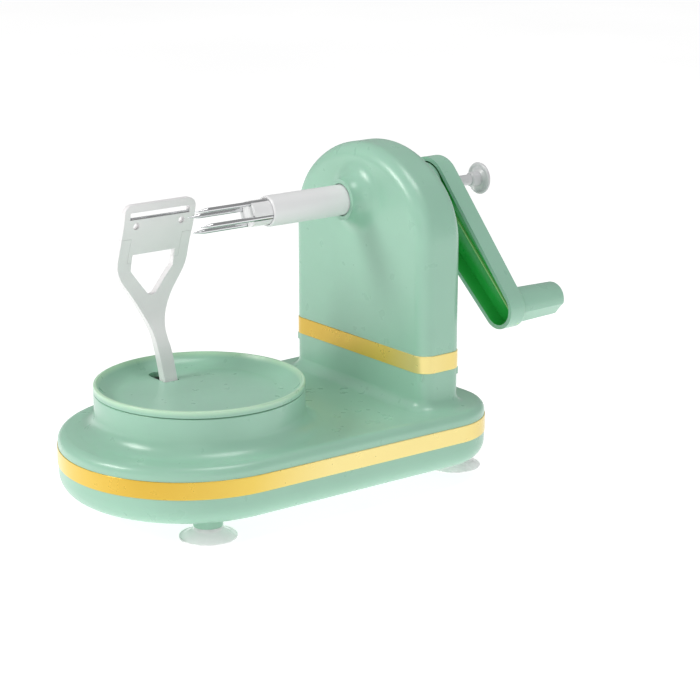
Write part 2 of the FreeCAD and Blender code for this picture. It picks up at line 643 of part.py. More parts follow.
def mitre_gear(teeth, phase, bore):
    """A 45 degree bevel gear whose pitch cone has its apex at the origin, opening along +Z."""
    module = dim("gear_module")
    outer, inner = module * teeth / 2, module * teeth / 2 - 2.2
    blank_edge = [(bore, BEVEL_BACK), (bore, inner + 0.4), (inner - 0.4, inner + 0.4),
                  (outer - 0.55, outer + 0.55), (outer - 0.55, BEVEL_BACK)]
    ring_points = [Vec(radius, 0, height) for radius, height in blank_edge]
    outline = Part.Face(Part.makePolygon(ring_points + ring_points[:1]))
    gear = outline.revolve(Vec(), Z_AXIS, 360)
    for number in range(teeth):
        turn = math.radians(phase + 360 * number / teeth)
        sections = []
        for cone_radius in (inner, outer):
            scale = cone_radius / outer
            corners = []
            for rise, half in ((-0.95, 0.95), (0.75, 0.33)):
                radius = cone_radius + rise * scale * math.cos(math.pi / 4)
                height = cone_radius - rise * scale * math.sin(math.pi / 4)
                corners.append((radius, -half * scale, height))
                corners.append((radius, half * scale, height))
            order = [corners[0], corners[1], corners[3], corners[2]]
            points = [Vec(r * math.cos(turn) - t * math.sin(turn),
                          r * math.sin(turn) + t * math.cos(turn), z) for r, t, z in order]
            sections.append(Part.makePolygon(points + points[:1]))
        gear = gear.fuse(Part.makeLoft(sections, True))
    return gear.removeSplitter()


# ---------------------------------------------------------------- gear train parts
def make_gear_plate():
    body = new_body("gear_plate")
    half, corner, front_x, rear_x = 15.0, 5.0, -4.0, 106.0
    outline = joined([
        arc(front_x, 0, half, 90, 270),
        arc(rear_x, -half + corner, corner, 270, 360),
        arc(rear_x, half - corner, corner, 0, 90),
    ])
    extrude(body, "Pad", "plate", "XY_Plane", outline, "dims.plate_z", "dims.plate_thick")
    extrude(body, "Pad", "stud_bosses", "XY_Plane",
            [circle(dim("compound_x"), 0, STUD_BOSS), circle(dim("idler_x"), 0, STUD_BOSS)],
            "dims.plate_z", "dims.gear_low_z - dims.plate_z - 0.1")
    extrude(body, "Pocket", "stud_holes", "XY_Plane",
            [circle(dim(where), 0, dim("stud_radius")) for where in ("compound_x", "idler_x")],
            "dims.gear_low_z", "10")
    extrude(body, "Pocket", "bush_holes", "XY_Plane",
            [circle(0, 0, SPINDLE_BUSH), circle(dim("shaft_x"), 0, SHAFT_BUSH)], "dims.gear_low_z", "10")
    extrude(body, "Pocket", "screw_holes", "XY_Plane",
            [circle(x, y, SCREW_RADIUS) for x, y in PLATE_POSTS], "dims.gear_low_z", "10")
    round_edges(body, "corner_break", "0.4",
                lambda edge: is_flat(edge, dim("plate_z") + dim("plate_thick"))
                and edge.Length > 2 * half, "Chamfer")
    return body


def make_gears():
    """The toothed parts, phased so that every tooth stands in a gap of its partner."""
    low, high, width = dim("gear_low_z"), dim("gear_high_z"), dim("gear_width")
    stud_bore = dim("stud_radius") + dim("run_gap")

    pinion = spur_gear(12, 0, high - 0.5, width + 1, dim("shaft_x"), dim("upright_radius"))
    shaped("shaft_pinion", pinion)

    wheel = spur_gear(48, 3.75, high, width, dim("compound_x"), stud_bore)
    wheel = web_holes(wheel, dim("compound_x"), high, width, 15.5, 4.6, 6)
    small = spur_gear(12, 0, low, high - low, dim("compound_x"), stud_bore)
    shaped("compound_gear", wheel.fuse(small).removeSplitter())

    idler = spur_gear(28, 180 / 28, low, width, dim("idler_x"), stud_bore)
    shaped("idler_gear", web_holes(idler, dim("idler_x"), low, width, 7.4, 2.2, 6))

    table = spur_gear(72, 0, low, width, 0, dim("hub_spigot"))
    for x, y in GEAR_SCREWS:
        table = table.cut(Part.makeCylinder(SCREW_RADIUS, width, Vec(x, y, low)))
    shaped("turntable_gear", web_holes(table, 0, low, width, 23.5, 7.0, 6))

    apex = Vec(dim("shaft_x"), 0, dim("axis_z"))
    driver = mitre_gear(16, 0, dim("shaft_radius"))
    shaped("drive_bevel_gear", driver, FreeCAD.Placement(apex, FreeCAD.Rotation(Y_AXIS, 90)))
    driven = mitre_gear(16, 180 / 16, dim("upright_radius"))
    hub = Part.makeCylinder(5.0, BEVEL_HUB, Z_AXIS * BEVEL_BACK)
    hub = hub.cut(Part.makeCylinder(dim("upright_radius"), BEVEL_HUB, Z_AXIS * BEVEL_BACK))
    driven = driven.fuse(hub).removeSplitter()
    shaped("driven_bevel_gear", driven, FreeCAD.Placement(apex, FreeCAD.Rotation(X_AXIS, 180)))


def make_train_hardware():
    """Shafts, studs, bushes and clips of the gear train."""
    cylinder("vertical_shaft", "dims.upright_radius", "dims.axis_z - 6.3 - dims.plate_z + 2.4",
             ("dims.shaft_x", "0", "dims.plate_z - 2.4"))
    studs = {"compound_stud": ("compound_x", "dims.gear_high_z + dims.gear_width + 2.2"),
             "idler_stud": ("idler_x", "dims.gear_low_z + dims.gear_width + 1.2")}
    for label, (where, top) in studs.items():
        cylinder(label, "dims.stud_radius", f"{top} - dims.plate_z + 1",
                 (f"dims.{where}", "0", "dims.plate_z - 1"))
    clips = [ring("compound_clip", "dims.stud_radius + 1.8", "dims.stud_radius", "0.7",
                  ("dims.compound_x", "0", "dims.gear_high_z + dims.gear_width + 0.15")),
             ring("idler_clip", "dims.stud_radius + 1.8", "dims.stud_radius", "0.7",
                  ("dims.idler_x", "0", "dims.gear_low_z + dims.gear_width + 0.15"))]
    group("stud_clips", clips)
    ring("spindle_bush", f"{SPINDLE_BUSH}", "dims.spindle_radius + dims.run_gap", "5.0",
         ("0", "0", "dims.plate_z - 1.2"))
    ring("lower_shaft_bush", f"{SHAFT_BUSH}", "dims.upright_radius + dims.run_gap", "5.0",
         ("dims.shaft_x", "0", "dims.plate_z - 1.2"))
    cylinder("turntable_spindle", "dims.spindle_radius", "dims.spindle_top_z - dims.plate_z + 2.4",
             ("0", "0", "dims.plate_z - 2.4"))
    ring("spindle_clip", "dims.spindle_radius + 2", "dims.spindle_radius", "0.8",
         ("0", "0", "dims.plate_z - 2.2"))


def make_shaft_bracket():
    """Cross wall in the tower that holds the vertical shaft's upper bush."""
    body = new_body("shaft_bracket")
    front, rear = dim("tower_front_x") + dim("wall"), dim("tower_rear_x") - dim("wall")
    side = 14.0
    shelf = polyline([(front, -side), (rear, -side), (rear, side), (front, side)])
    extrude(body, "Pad", "shelf", "XY_Plane", shelf, "dims.axis_z - 22", "4")
    extrude(body, "Pad", "boss", "XY_Plane", [circle(dim("shaft_x"), 0, 7.0)], "dims.axis_z - 22", "8")
    extrude(body, "Pocket", "bush_bore", "XY_Plane", [circle(dim("shaft_x"), 0, SHAFT_BUSH)],
            "dims.axis_z - 13", "12")
    return body


# ---------------------------------------------------------------- turntable
HUB_FLANGE_THICK = 5.5
PAD_DROP = 3.5
ARM_SLOT_HALF = 3.9
ARM_SLOT_NEAR = 22.0
ARM_SLOT_FAR = 38.6
BRACKET_SCREWS = [(-12.9, 14.5), (12.9, 14.5), (-12.9, 30.5), (12.9, 30.5)]
LEFT_CHEEK = (-6.9, -3.75)
RIGHT_CHEEK = (7.6, 9.9)
SPRING_WIRE = 0.4
SPRING_COIL = 2.6


def make_dish():
    body = new_body("turntable_dish")
    rim_radius, rim_z = dim("drum_radius"), dim("rim_z")
    floor_z, wall_radius = dim("dish_floor_z"), dim("dish_wall_radius")
    wall_centre = 36.5
    inner_rim = 45.7
    gear_top = dim("gear_low_z") + dim("gear_width")
    climb = math.degrees(math.asin((inner_rim - wall_centre) / wall_radius))
    wall_arc = arc(wall_centre, floor_z + wall_radius, wall_radius, 270, 270 + climb)
    lip_arc = arc(rim_radius - 0.6, rim_z - 0.6, 0.6, 0, 90)
    rim_start = Vec(wall_arc.EndPoint.x + 0.3, rim_z, 0)
    profile = [Part.LineSegment(Vec(0, floor_z, 0), wall_arc.StartPoint), wall_arc,
               Part.LineSegment(wall_arc.EndPoint, rim_start),
               Part.LineSegment(rim_start, lip_arc.EndPoint), lip_arc]
    corners = [lip_arc.StartPoint, Vec(rim_radius, dim("dish_skirt_z"), 0),
               Vec(dim("dish_skirt_radius"), dim("dish_skirt_z"), 0),
               Vec(dim("dish_skirt_radius"), dim("dish_under_z"), 0),
               Vec(dim("hub_radius"), dim("dish_under_z"), 0),
               Vec(dim("hub_radius"), gear_top + HUB_FLANGE_THICK, 0),
               Vec(dim("hub_flange"), gear_top + HUB_FLANGE_THICK, 0),
               Vec(dim("hub_flange"), gear_top, 0),
               Vec(dim("hub_spigot"), gear_top, 0),
               Vec(dim("hub_spigot"), dim("gear_low_z"), 0),
               Vec(dim("spindle_radius"), dim("gear_low_z"), 0),
               Vec(dim("spindle_radius"), dim("spindle_top_z"), 0),
               Vec(0, dim("spindle_top_z"), 0), Vec(0, floor_z, 0)]
    profile += [Part.LineSegment(a, b) for a, b in zip(corners, corners[1:])]
    revolve(body, "Revolution", "bowl", profile)
    slot = joined([
        arc(0, ARM_SLOT_FAR - ARM_SLOT_HALF, ARM_SLOT_HALF, 0, 180),
        Part.LineSegment(Vec(-ARM_SLOT_HALF, ARM_SLOT_NEAR, 0), Vec(ARM_SLOT_HALF, ARM_SLOT_NEAR, 0)),
    ])
    extrude(body, "Pocket", "arm_slot", "XY_Plane", slot, "dims.rim_z",
            "dims.rim_z - dims.dish_under_z + 1")
    extrude(body, "Pad", "pads", "XY_Plane", [circle(x, y, 3.2) for x, y in BRACKET_SCREWS],
            f"dims.dish_under_z - {PAD_DROP}", f"{PAD_DROP} + 0.5")
    extrude(body, "Pocket", "pad_pilots", "XY_Plane",
            [circle(x, y, SCREW_RADIUS) for x, y in BRACKET_SCREWS],
            f"dims.dish_under_z - {PAD_DROP}", "4.2", reverse=True)
    extrude(body, "Pocket", "gear_pilots", "XY_Plane",
            [circle(x, y, SCREW_RADIUS) for x, y in GEAR_SCREWS],
            "dims.gear_low_z + dims.gear_width", "5.0", reverse=True)
    return body


def make_arm_bracket():
    body = new_body("arm_bracket")
    top = f"dims.dish_under_z - {PAD_DROP}"
    outline = polyline([(-16.2, 11.5), (16.2, 11.5), (16.2, 32.5), (8.5, 38), (-8.5, 38), (-16.2, 32.5)])
    extrude(body, "Pad", "flange", "XY_Plane", outline, top, "2.2", reverse=True)
    for side, (near, far) in (("left", LEFT_CHEEK), ("right", RIGHT_CHEEK)):
        cheek = polyline([(near, 14.5), (far, 14.5), (far, 27.0), (near, 27.0)])
        extrude(body, "Pad", f"{side}_cheek", "XY_Plane", cheek, top,
                f"dims.dish_under_z - {PAD_DROP} - dims.pivot_z + 4.8", reverse=True)
    low_x, high_x = LEFT_CHEEK[1], RIGHT_CHEEK[0]
    slot = polyline([(low_x, 12.8), (high_x, 12.8), (high_x, 36.4), (low_x, 36.4)])
    extrude(body, "Pocket", "stem_slot", "XY_Plane", slot, top, "3")
    extrude(body, "Pocket", "pin_hole", "YZ_Plane",
            [circle(dim("pivot_y"), dim("pivot_z"), dim("pivot_radius"))], "-20", "40", reverse=True)
    extrude(body, "Pocket", "spring_hole", "YZ_Plane",
            [circle(dim("pivot_y") + SPRING_COIL, dim("pivot_z"), SPRING_WIRE)],
            f"{RIGHT_CHEEK[0]} - 1", "4", reverse=True)
    extrude(body, "Pocket", "screw_holes", "XY_Plane",
            [circle(x, y, SCREW_RADIUS) for x, y in BRACKET_SCREWS], top, "3")
    return body


def wire_run(points):
    """Straight wire through the points, with round corners."""
    pieces = []
    for start, end in zip(points, points[1:]):
        pieces.append(Part.makeCylinder(SPRING_WIRE, start.distanceToPoint(end), start, end - start))
        pieces.append(Part.makeSphere(SPRING_WIRE, end))
    return pieces


def make_arm_spring():
    """Torsion spring on the pivot pin: one end in the right cheek, the other behind the stem."""
    turns, pitch = 3, 0.95
    start_x = RIGHT_CHEEK[0] - 0.7
    end_x = start_x - pitch * turns
    pivot_y, pivot_z = dim("pivot_y"), dim("pivot_z")
    helix = Part.makeHelix(pitch, pitch * turns, SPRING_COIL)
    section = Part.Wire(Part.makeCircle(SPRING_WIRE, Vec(SPRING_COIL, 0, 0), Y_AXIS))
    coil = Part.Wire(helix).makePipeShell([section], True, True)
    coil.rotate(Vec(), Y_AXIS, -90)
    coil.rotate(Vec(), X_AXIS, -90)
    coil.translate(Vec(start_x, pivot_y, pivot_z))
    corner = Vec(start_x, pivot_y + SPRING_COIL, pivot_z)
    anchor = wire_run([corner, corner + X_AXIS * 2.6])
    rise = Vec(end_x, pivot_y + SPRING_COIL, pivot_z)
    elbow = Vec(end_x, 26.95, 46.0)
    legs = wire_run([rise, elbow, elbow - X_AXIS * 4.6])
    corners = [Part.makeSphere(SPRING_WIRE, corner), Part.makeSphere(SPRING_WIRE, rise)]
    shaped("arm_spring", coil.fuse(anchor + legs + corners))


# ---------------------------------------------------------------- peeler arm
def arm_side_curve(offset):
    """Side view of the peeler arm's inner face, bowed outward; offset shifts it away from the fruit."""
    points = [(17.0, 33.5), (23.0, 50.5), (28.0, 65.0), (34.5, 77.0), (37.3, 90.0),
              (36.4, 102.0), (32.4, 114.5), (28.9, 124.5), (27.6, 133.5)]
    start, end = points[0], points[-1]
    spline = Part.BSplineCurve()
    shifted = []
    for y, z in points:
        share = (z - start[1]) / (end[1] - start[1])
        thickness = dim("stem_thick") + (dim("head_thick") - dim("stem_thick")) * share
        shifted.append(Vec(0, y + offset * thickness, z))
    spline.interpolate(shifted)
    return spline.toShape()


def arm_slab():
    """The bowed strip that the arm and the blade head are both cut from."""
    inner, outer = arm_side_curve(0), arm_side_curve(1)
    low = Part.makeLine(inner.Vertexes[0].Point, outer.Vertexes[0].Point)
    high = Part.makeLine(inner.Vertexes[-1].Point, outer.Vertexes[-1].Point)
    face = Part.Face(Part.Wire([low, outer, high, inner]))
    reach = dim("head_half") + 2
    slab = face.extrude(X_AXIS * (2 * reach))
    slab.translate(X_AXIS * -reach)
    return slab


def front_prism(edges):
    """A solid through the whole arm, from an outline of (x, z) edges seen from the front."""
    upright = FreeCAD.Placement(Vec(0, 60, 0), FreeCAD.Rotation(X_AXIS, 90))
    shapes = [edge.toShape() for edge in edges]
    for shape in shapes:
        shape.Placement = upright
    return Part.Face(Part.Wire(Part.__sortEdges__(shapes))).extrude(Y_AXIS * -60)


def make_peeler_arm():
    seam, tab, tongue = dim("head_seam_z"), dim("head_tab_z"), dim("tongue_half")
    outer_half, stem = dim("head_half") - 0.1, dim("stem_half")
    flanks = []
    for side in (1, -1):
        flank = Part.BSplineCurve()
        flank.interpolate([Vec(side * x, z, 0) for x, z in (
            (outer_half, 104.5), (16.6, 97.5), (12.0, 90.5), (7.0, 82.0), (stem + 0.5, 74.0), (stem, 66.0))])
        flanks.append(flank)
    edges = [*flanks,
             Part.LineSegment(Vec(outer_half, seam, 0), Vec(outer_half, 104.5, 0)),
             Part.LineSegment(Vec(-outer_half, seam, 0), Vec(-outer_half, 104.5, 0)),
             Part.LineSegment(Vec(-outer_half, seam, 0), Vec(outer_half, seam, 0)),
             Part.LineSegment(Vec(stem, 66.0, 0), Vec(stem, 33.0, 0)),
             Part.LineSegment(Vec(-stem, 66.0, 0), Vec(-stem, 33.0, 0)),
             Part.LineSegment(Vec(-stem, 33.0, 0), Vec(stem, 33.0, 0))]
    arm = arm_slab().common(front_prism(edges))
    window_round = 3.2
    window = joined([
        arc(0, 88.0 + window_round, window_round, 215, 325),
        Part.LineSegment(Vec(TAB_INNER_HALF, 100.5, 0), Vec(TAB_INNER_HALF, tab, 0)),
        Part.LineSegment(Vec(tongue, tab, 0), Vec(tongue, seam + 1, 0)),
        Part.LineSegment(Vec(-tongue, seam + 1, 0), Vec(-tongue, tab, 0)),
        Part.LineSegment(Vec(-TAB_INNER_HALF, tab, 0), Vec(-TAB_INNER_HALF, 100.5, 0)),
    ])
    arm = arm.cut(front_prism(window))
    pivot = Vec(-stem, dim("pivot_y"), dim("pivot_z"))
    arm = arm.fuse(Part.makeCylinder(4.3, 2 * stem, pivot, X_AXIS))
    arm = arm.cut(Part.makeCylinder(dim("pivot_radius") + dim("run_gap"), 2 * stem + 2,
                                    pivot - X_AXIS, X_AXIS))
    shaped("peeler_arm", arm.removeSplitter())


BLADE_PIVOT_RADIUS = 0.6
BLADE_PIVOT_DEPTH = 1.4
TAB_INNER_HALF = 11.2


def make_blade_head():
    seam, tab, tongue = dim("head_seam_z") + 0.1, dim("head_tab_z") + 0.1, dim("tongue_half") - 0.1
    half, top, corner = dim("head_half"), dim("head_top_z"), 4.0
    outline = joined([
        arc(half - corner, top - corner, corner, 0, 90),
        arc(-half + corner, top - corner, corner, 90, 180),
        Part.LineSegment(Vec(-half, seam, 0), Vec(-tongue, seam, 0)),
        Part.LineSegment(Vec(-tongue, tab, 0), Vec(-TAB_INNER_HALF, tab, 0)),
        Part.LineSegment(Vec(-TAB_INNER_HALF, 108.3, 0), Vec(TAB_INNER_HALF, 108.3, 0)),
        Part.LineSegment(Vec(TAB_INNER_HALF, tab, 0), Vec(tongue, tab, 0)),
        Part.LineSegment(Vec(tongue, seam, 0), Vec(half, seam, 0)),
    ])
    head = arm_slab().common(front_prism(outline))
    low, high, reach = dim("slot_low_z"), dim("slot_high_z"), dim("slot_half")
    slot = polyline([(-reach, low), (reach, low), (reach, high), (-reach, high)])
    head = head.cut(front_prism(slot))
    for side in (-1, 1):
        head = head.cut(Part.makeCylinder(1.6, 60, Vec(side * 11.9, 0, 122.4), Y_AXIS))
    axle_half = reach + BLADE_PIVOT_DEPTH
    axle = Vec(-axle_half, dim("blade_y"), dim("blade_z"))
    head = head.cut(Part.makeCylinder(BLADE_PIVOT_RADIUS, 2 * axle_half, axle, X_AXIS))
    shaped("blade_head", head.removeSplitter())


def make_blade():
    """A thin steel strip low in the slot, bowed towards the fruit, with a pivot stub at each end."""
    reach = dim("slot_half") - 0.2
    end_edge, middle_edge, back_edge, thick = -1.0, -1.9, 1.1, 0.5
    bow = Part.Arc(Vec(-reach, end_edge, 0), Vec(0, middle_edge, 0), Vec(reach, end_edge, 0)).toShape()
    edges = [bow, Part.makeLine(Vec(reach, end_edge, 0), Vec(reach, back_edge, 0)),
             Part.makeLine(Vec(reach, back_edge, 0), Vec(-reach, back_edge, 0)),
             Part.makeLine(Vec(-reach, back_edge, 0), Vec(-reach, end_edge, 0))]
    strip = Part.Face(Part.Wire(edges)).extrude(Z_AXIS * thick)
    strip.translate(Z_AXIS * (-thick / 2))
    overlap = 0.6
    stub_half = dim("slot_half") + BLADE_PIVOT_DEPTH - 0.1
    stub_length = stub_half - reach + overlap
    for start in (-stub_half, reach - overlap):
        stub = Part.makeCylinder(BLADE_PIVOT_RADIUS, stub_length, Vec(start, 0, 0), X_AXIS)
        strip = strip.fuse(stub)
    shaped("peeling_blade", strip.removeSplitter(), FreeCAD.Placement(
        Vec(0, dim("blade_y"), dim("blade_z")), FreeCAD.Rotation(X_AXIS, dim("blade_tilt"))))


# ---------------------------------------------------------------- fork and ejector
def prong_offsets():
    """Where the four prongs stand round the fork axis, as (y, z)."""
    for number in range(4):
        turn = math.radians(dim("prong_turn") + 90 * number)
        yield dim("prong_circle") * math.cos(turn), dim("prong_circle") * math.sin(turn)


def make_fork():
    axis = ("0", "dims.axis_z")
    for number, (y, z) in enumerate(prong_offsets(), start=1):
        place = (str(round(y, 4)), f"dims.axis_z + {round(z, 4)}")
        shank = cylinder(f"prong_shank_{number}", "dims.prong_radius",
                         "dims.prong_rear_x - dims.prong_tip_x - dims.prong_cone",
                         ("dims.prong_tip_x + dims.prong_cone", *place), X_AXIS)
        point = cone(f"prong_point_{number}", "0.12", "dims.prong_radius", "dims.prong_cone",
                     ("dims.prong_tip_x", *place), X_AXIS)
        fuse(f"fork_prong_{number}", [shank, point])

    sleeve = new_body("fork_sleeve")
    front, rear, web = dim("sleeve_front_x"), dim("sleeve_rear_x"), dim("sleeve_web_x")
    radius, bore, shaft = dim("sleeve_radius"), dim("sleeve_bore"), dim("shaft_radius")
    lip = arc(front + 0.8, radius - 0.8, 0.8, 90, 180)
    profile = [lip] + [Part.LineSegment(a, b) for a, b in zip(
        [lip.EndPoint, Vec(front, bore, 0), Vec(web, bore, 0), Vec(web, shaft, 0), Vec(rear, shaft, 0),
         Vec(rear, radius, 0)],
        [Vec(front, bore, 0), Vec(web, bore, 0), Vec(web, shaft, 0), Vec(rear, shaft, 0),
         Vec(rear, radius, 0), lip.StartPoint])]
    revolve(sleeve, "Revolution", "tube", profile, "dims.axis_z")

    ring("drive_shaft", "dims.shaft_radius", "dims.shaft_bore", "dims.shaft_rear_x - dims.sleeve_web_x - 1",
         ("dims.sleeve_web_x + 1", *axis), X_AXIS)

    holder = ring("holder_blank", "dims.sleeve_bore", "dims.rod_radius + 0.2", "dims.holder_length",
                  ("dims.holder_x", *axis), X_AXIS)
    sockets = [cylinder(f"holder_socket_{number}", "dims.prong_radius", "dims.holder_length",
                        ("dims.holder_x", str(round(y, 4)), f"dims.axis_z + {round(z, 4)}"), X_AXIS)
               for number, (y, z) in enumerate(prong_offsets(), start=1)]
    cut("prong_holder", holder, fuse("holder_sockets", sockets))

    ring("front_bushing", "dims.bush_radius", "dims.sleeve_radius + dims.run_gap", "dims.bush_length",
         ("dims.bush_x", *axis), X_AXIS)
    barrel = cylinder("rear_bush_barrel", "dims.rear_bush_radius",
                      "dims.boss_end_x - dims.tower_rear_x + dims.wall - 0.3",
                      ("dims.tower_rear_x - dims.wall", *axis), X_AXIS)
    flange = cylinder("rear_bush_flange", "dims.rear_bush_radius + 1.6", "0.6",
                      ("dims.tower_rear_x - dims.wall - 0.6", *axis), X_AXIS)
    hole = cylinder("rear_bush_hole", "dims.shaft_radius + dims.run_gap", "40",
                    ("dims.tower_rear_x - 10", *axis), X_AXIS)
    cut("rear_bushing", fuse("rear_bush_blank", [barrel, flange]), hole)


def make_ejector():
    axis = ("0", "dims.axis_z")
    blank = cylinder("plug_blank", "dims.plug_radius", "dims.plug_length",
                     ("dims.plug_front_x", *axis), X_AXIS)
    grooves = [cylinder(f"plug_groove_{number}", "dims.prong_radius + 0.2", "dims.plug_length",
                        ("dims.plug_front_x", str(round(y, 4)), f"dims.axis_z + {round(z, 4)}"), X_AXIS)
               for number, (y, z) in enumerate(prong_offsets(), start=1)]
    slots = []
    for number, (y, z) in enumerate(prong_offsets(), start=1):
        slot = doc.addObject("Part::Box", f"plug_slot_{number}")
        slot.setExpression("Length", "dims.plug_length")
        slot.setExpression("Width", "4")
        slot.setExpression("Height", "2 * dims.prong_radius + 0.4")
        turn = dim("prong_turn") + 90 * (number - 1)
        start = Vec(dim("plug_front_x"), y, dim("axis_z") + z)
        place = FreeCAD.Placement(start, FreeCAD.Rotation(X_AXIS, turn))
        slot.Placement = place.multiply(
            FreeCAD.Placement(Vec(0, 0, -dim("prong_radius") - 0.2), FreeCAD.Rotation()))
        slots.append(slot)
    socket = cylinder("plug_socket", "dims.rod_radius", "dims.plug_length - 4",
                      ("dims.plug_front_x + 4", *axis), X_AXIS)
    cut("ejector_plug", blank, fuse("plug_cuts", grooves + slots + [socket]))
    cylinder("push_rod", "dims.rod_radius", "dims.knob_x - 5.5 - dims.plug_front_x - 4",
             ("dims.plug_front_x + 4", *axis), X_AXIS)
    knob = new_body("push_knob")
    face, radius, hub = dim("knob_x"), dim("knob_radius"), 3.5
    bead = arc(face + 0.9, radius - 0.9, 0.9, 0, 180)
    start = face - 5.5
    corners = [Vec(start, 0, 0), Vec(start, hub - 0.5, 0), Vec(start + 0.8, hub, 0), Vec(face - 0.2, hub, 0),
               Vec(face + 0.6, hub + 1.6, 0), Vec(face + 0.6, radius - 1.9, 0), bead.EndPoint]
    rest = [bead.StartPoint, Vec(face + 1.8, 0, 0), Vec(start, 0, 0)]
    profile = [Part.LineSegment(a, b) for a, b in zip(corners, corners[1:])] + [bead]
    profile += [Part.LineSegment(a, b) for a, b in zip(rest, rest[1:])]
    revolve(knob, "Revolution", "disc", profile, "dims.axis_z")


# ---------------------------------------------------------------- crank
SET_SCREW_X = 135.4
GRIP_SCREW_DEPTH = 10.0
SPIGOT_LENGTH = dim("split_gap") + dim("grip_length") - dim("spigot_short")


def make_crank():
    arm = new_body("crank_arm")
    rim, back, reach = dim("crank_rim_x"), dim("crank_back_x"), dim("crank_reach")
    extrude(arm, "Pad", "block", "YZ_Plane", crank_outline(0), "dims.crank_rim_x",
            "dims.crank_back_x - dims.crank_rim_x")
    round_edges(arm, "back_edge", "1.4", lambda edge: edge.BoundBox.XMin > back - 1e-3)
    extrude(arm, "Pocket", "channel", "YZ_Plane", crank_outline(dim("crank_wall")), "dims.crank_rim_x",
            "dims.crank_back_x - dims.crank_rim_x - 2.4", reverse=True)
    extrude(arm, "Pad", "hub_core", "YZ_Plane", [circle(0, 0, dim("crank_core"))],
            "dims.boss_end_x + 0.5", "dims.crank_back_x - dims.boss_end_x - 1.5")
    extrude(arm, "Pad", "grip_spigot", "YZ_Plane", [circle(0, -reach, dim("spigot_radius"))],
            "dims.crank_back_x - 1", f"{SPIGOT_LENGTH} + 1")
    extrude(arm, "Pocket", "spigot_pilot", "YZ_Plane", [circle(0, -reach, SCREW_RADIUS)],
            f"dims.crank_back_x + {SPIGOT_LENGTH}", f"{GRIP_SCREW_DEPTH}")
    rib_half, rib_end = 0.4, -(reach + dim("crank_end_radius") - dim("crank_wall") - 0.2)
    rib = polyline([(-rib_half, -6), (rib_half, -6), (rib_half, rib_end), (-rib_half, rib_end)])
    extrude(arm, "Pad", "rib", "YZ_Plane", rib, "dims.crank_rim_x + 6.3",
            "dims.crank_back_x - dims.crank_rim_x - 7.3")
    extrude(arm, "Pocket", "shaft_socket", "YZ_Plane", [circle(0, 0, dim("shaft_radius"))],
            "dims.crank_rim_x", "dims.shaft_rear_x - dims.crank_rim_x", reverse=True)
    extrude(arm, "Pocket", "rod_hole", "YZ_Plane", [circle(0, 0, dim("rod_radius") + 0.3)],
            "dims.crank_rim_x", "20", reverse=True)
    extrude(arm, "Pocket", "set_screw_hole", "XY_Plane", [circle(SET_SCREW_X, 0, SCREW_RADIUS)],
            "dims.crank_hub_radius + 1", "dims.crank_hub_radius + 1 - dims.shaft_radius + 0.3")
    hanging = FreeCAD.Rotation(X_AXIS, -dim("crank_rest"))
    arm.Placement = FreeCAD.Placement(Vec(), hanging)
    arm.setExpression("Placement.Base.z", "dims.axis_z")

    place = ("-dims.crank_reach * sin(dims.crank_rest * 1 deg)",
             "dims.axis_z - dims.crank_reach * cos(dims.crank_rest * 1 deg)")
    spigot_end = f"dims.crank_back_x + {SPIGOT_LENGTH}"
    head = cylinder("grip_screw_head", "dims.spigot_radius + 1.2", "1.2", (spigot_end, *place), X_AXIS)
    shank = cylinder("grip_screw_shank", f"{SCREW_RADIUS}", f"{GRIP_SCREW_DEPTH}",
                     (f"{spigot_end} - {GRIP_SCREW_DEPTH} + 0.2", *place), X_AXIS)
    socket = doc.addObject("Part::Prism", "grip_screw_socket")
    socket.Polygon = 6
    socket.Circumradius = 1.4
    socket.Height = 2.0
    socket.Placement = FreeCAD.Placement(Vec(), FreeCAD.Rotation(Z_AXIS, X_AXIS))
    lift(socket, f"{spigot_end} + 0.5", *place)
    cut("grip_screw", fuse("grip_screw_blank", [head, shank]), socket)

    grip = new_body("crank_grip")
    start, length = back + dim("split_gap"), dim("grip_length")
    near, far = dim("grip_radius"), dim("grip_end_radius")
    hole = dim("spigot_radius") + dim("run_gap")
    nose_round, edge_break = 2.6, 0.5
    nose = arc(start + length - nose_round, far - nose_round, nose_round, 0, 90)
    pocket_radius = dim("spigot_radius") + 1.7
    pocket_x = back + SPIGOT_LENGTH - 0.3
    points = [nose.StartPoint, Vec(start + length, pocket_radius, 0), Vec(pocket_x, pocket_radius, 0),
              Vec(pocket_x, hole, 0), Vec(start, hole, 0), Vec(start, near - edge_break, 0),
              Vec(start + edge_break, near, 0), nose.EndPoint]
    profile = [nose] + [Part.LineSegment(a, b) for a, b in zip(points, points[1:])]
    revolve(grip, "Revolution", "barrel", profile, "0.0001")
    grip.setExpression("Placement.Base.y", place[0])
    grip.setExpression("Placement.Base.z", place[1])

    upward = hanging.multVec(Z_AXIS)
    foot = upward * dim("shaft_radius")
    cylinder("hub_set_screw", f"{SCREW_RADIUS}", "3.2",
             (str(SET_SCREW_X), str(round(foot.y, 4)), f"dims.axis_z + {round(foot.z, 4)}"), upward)
    return arm


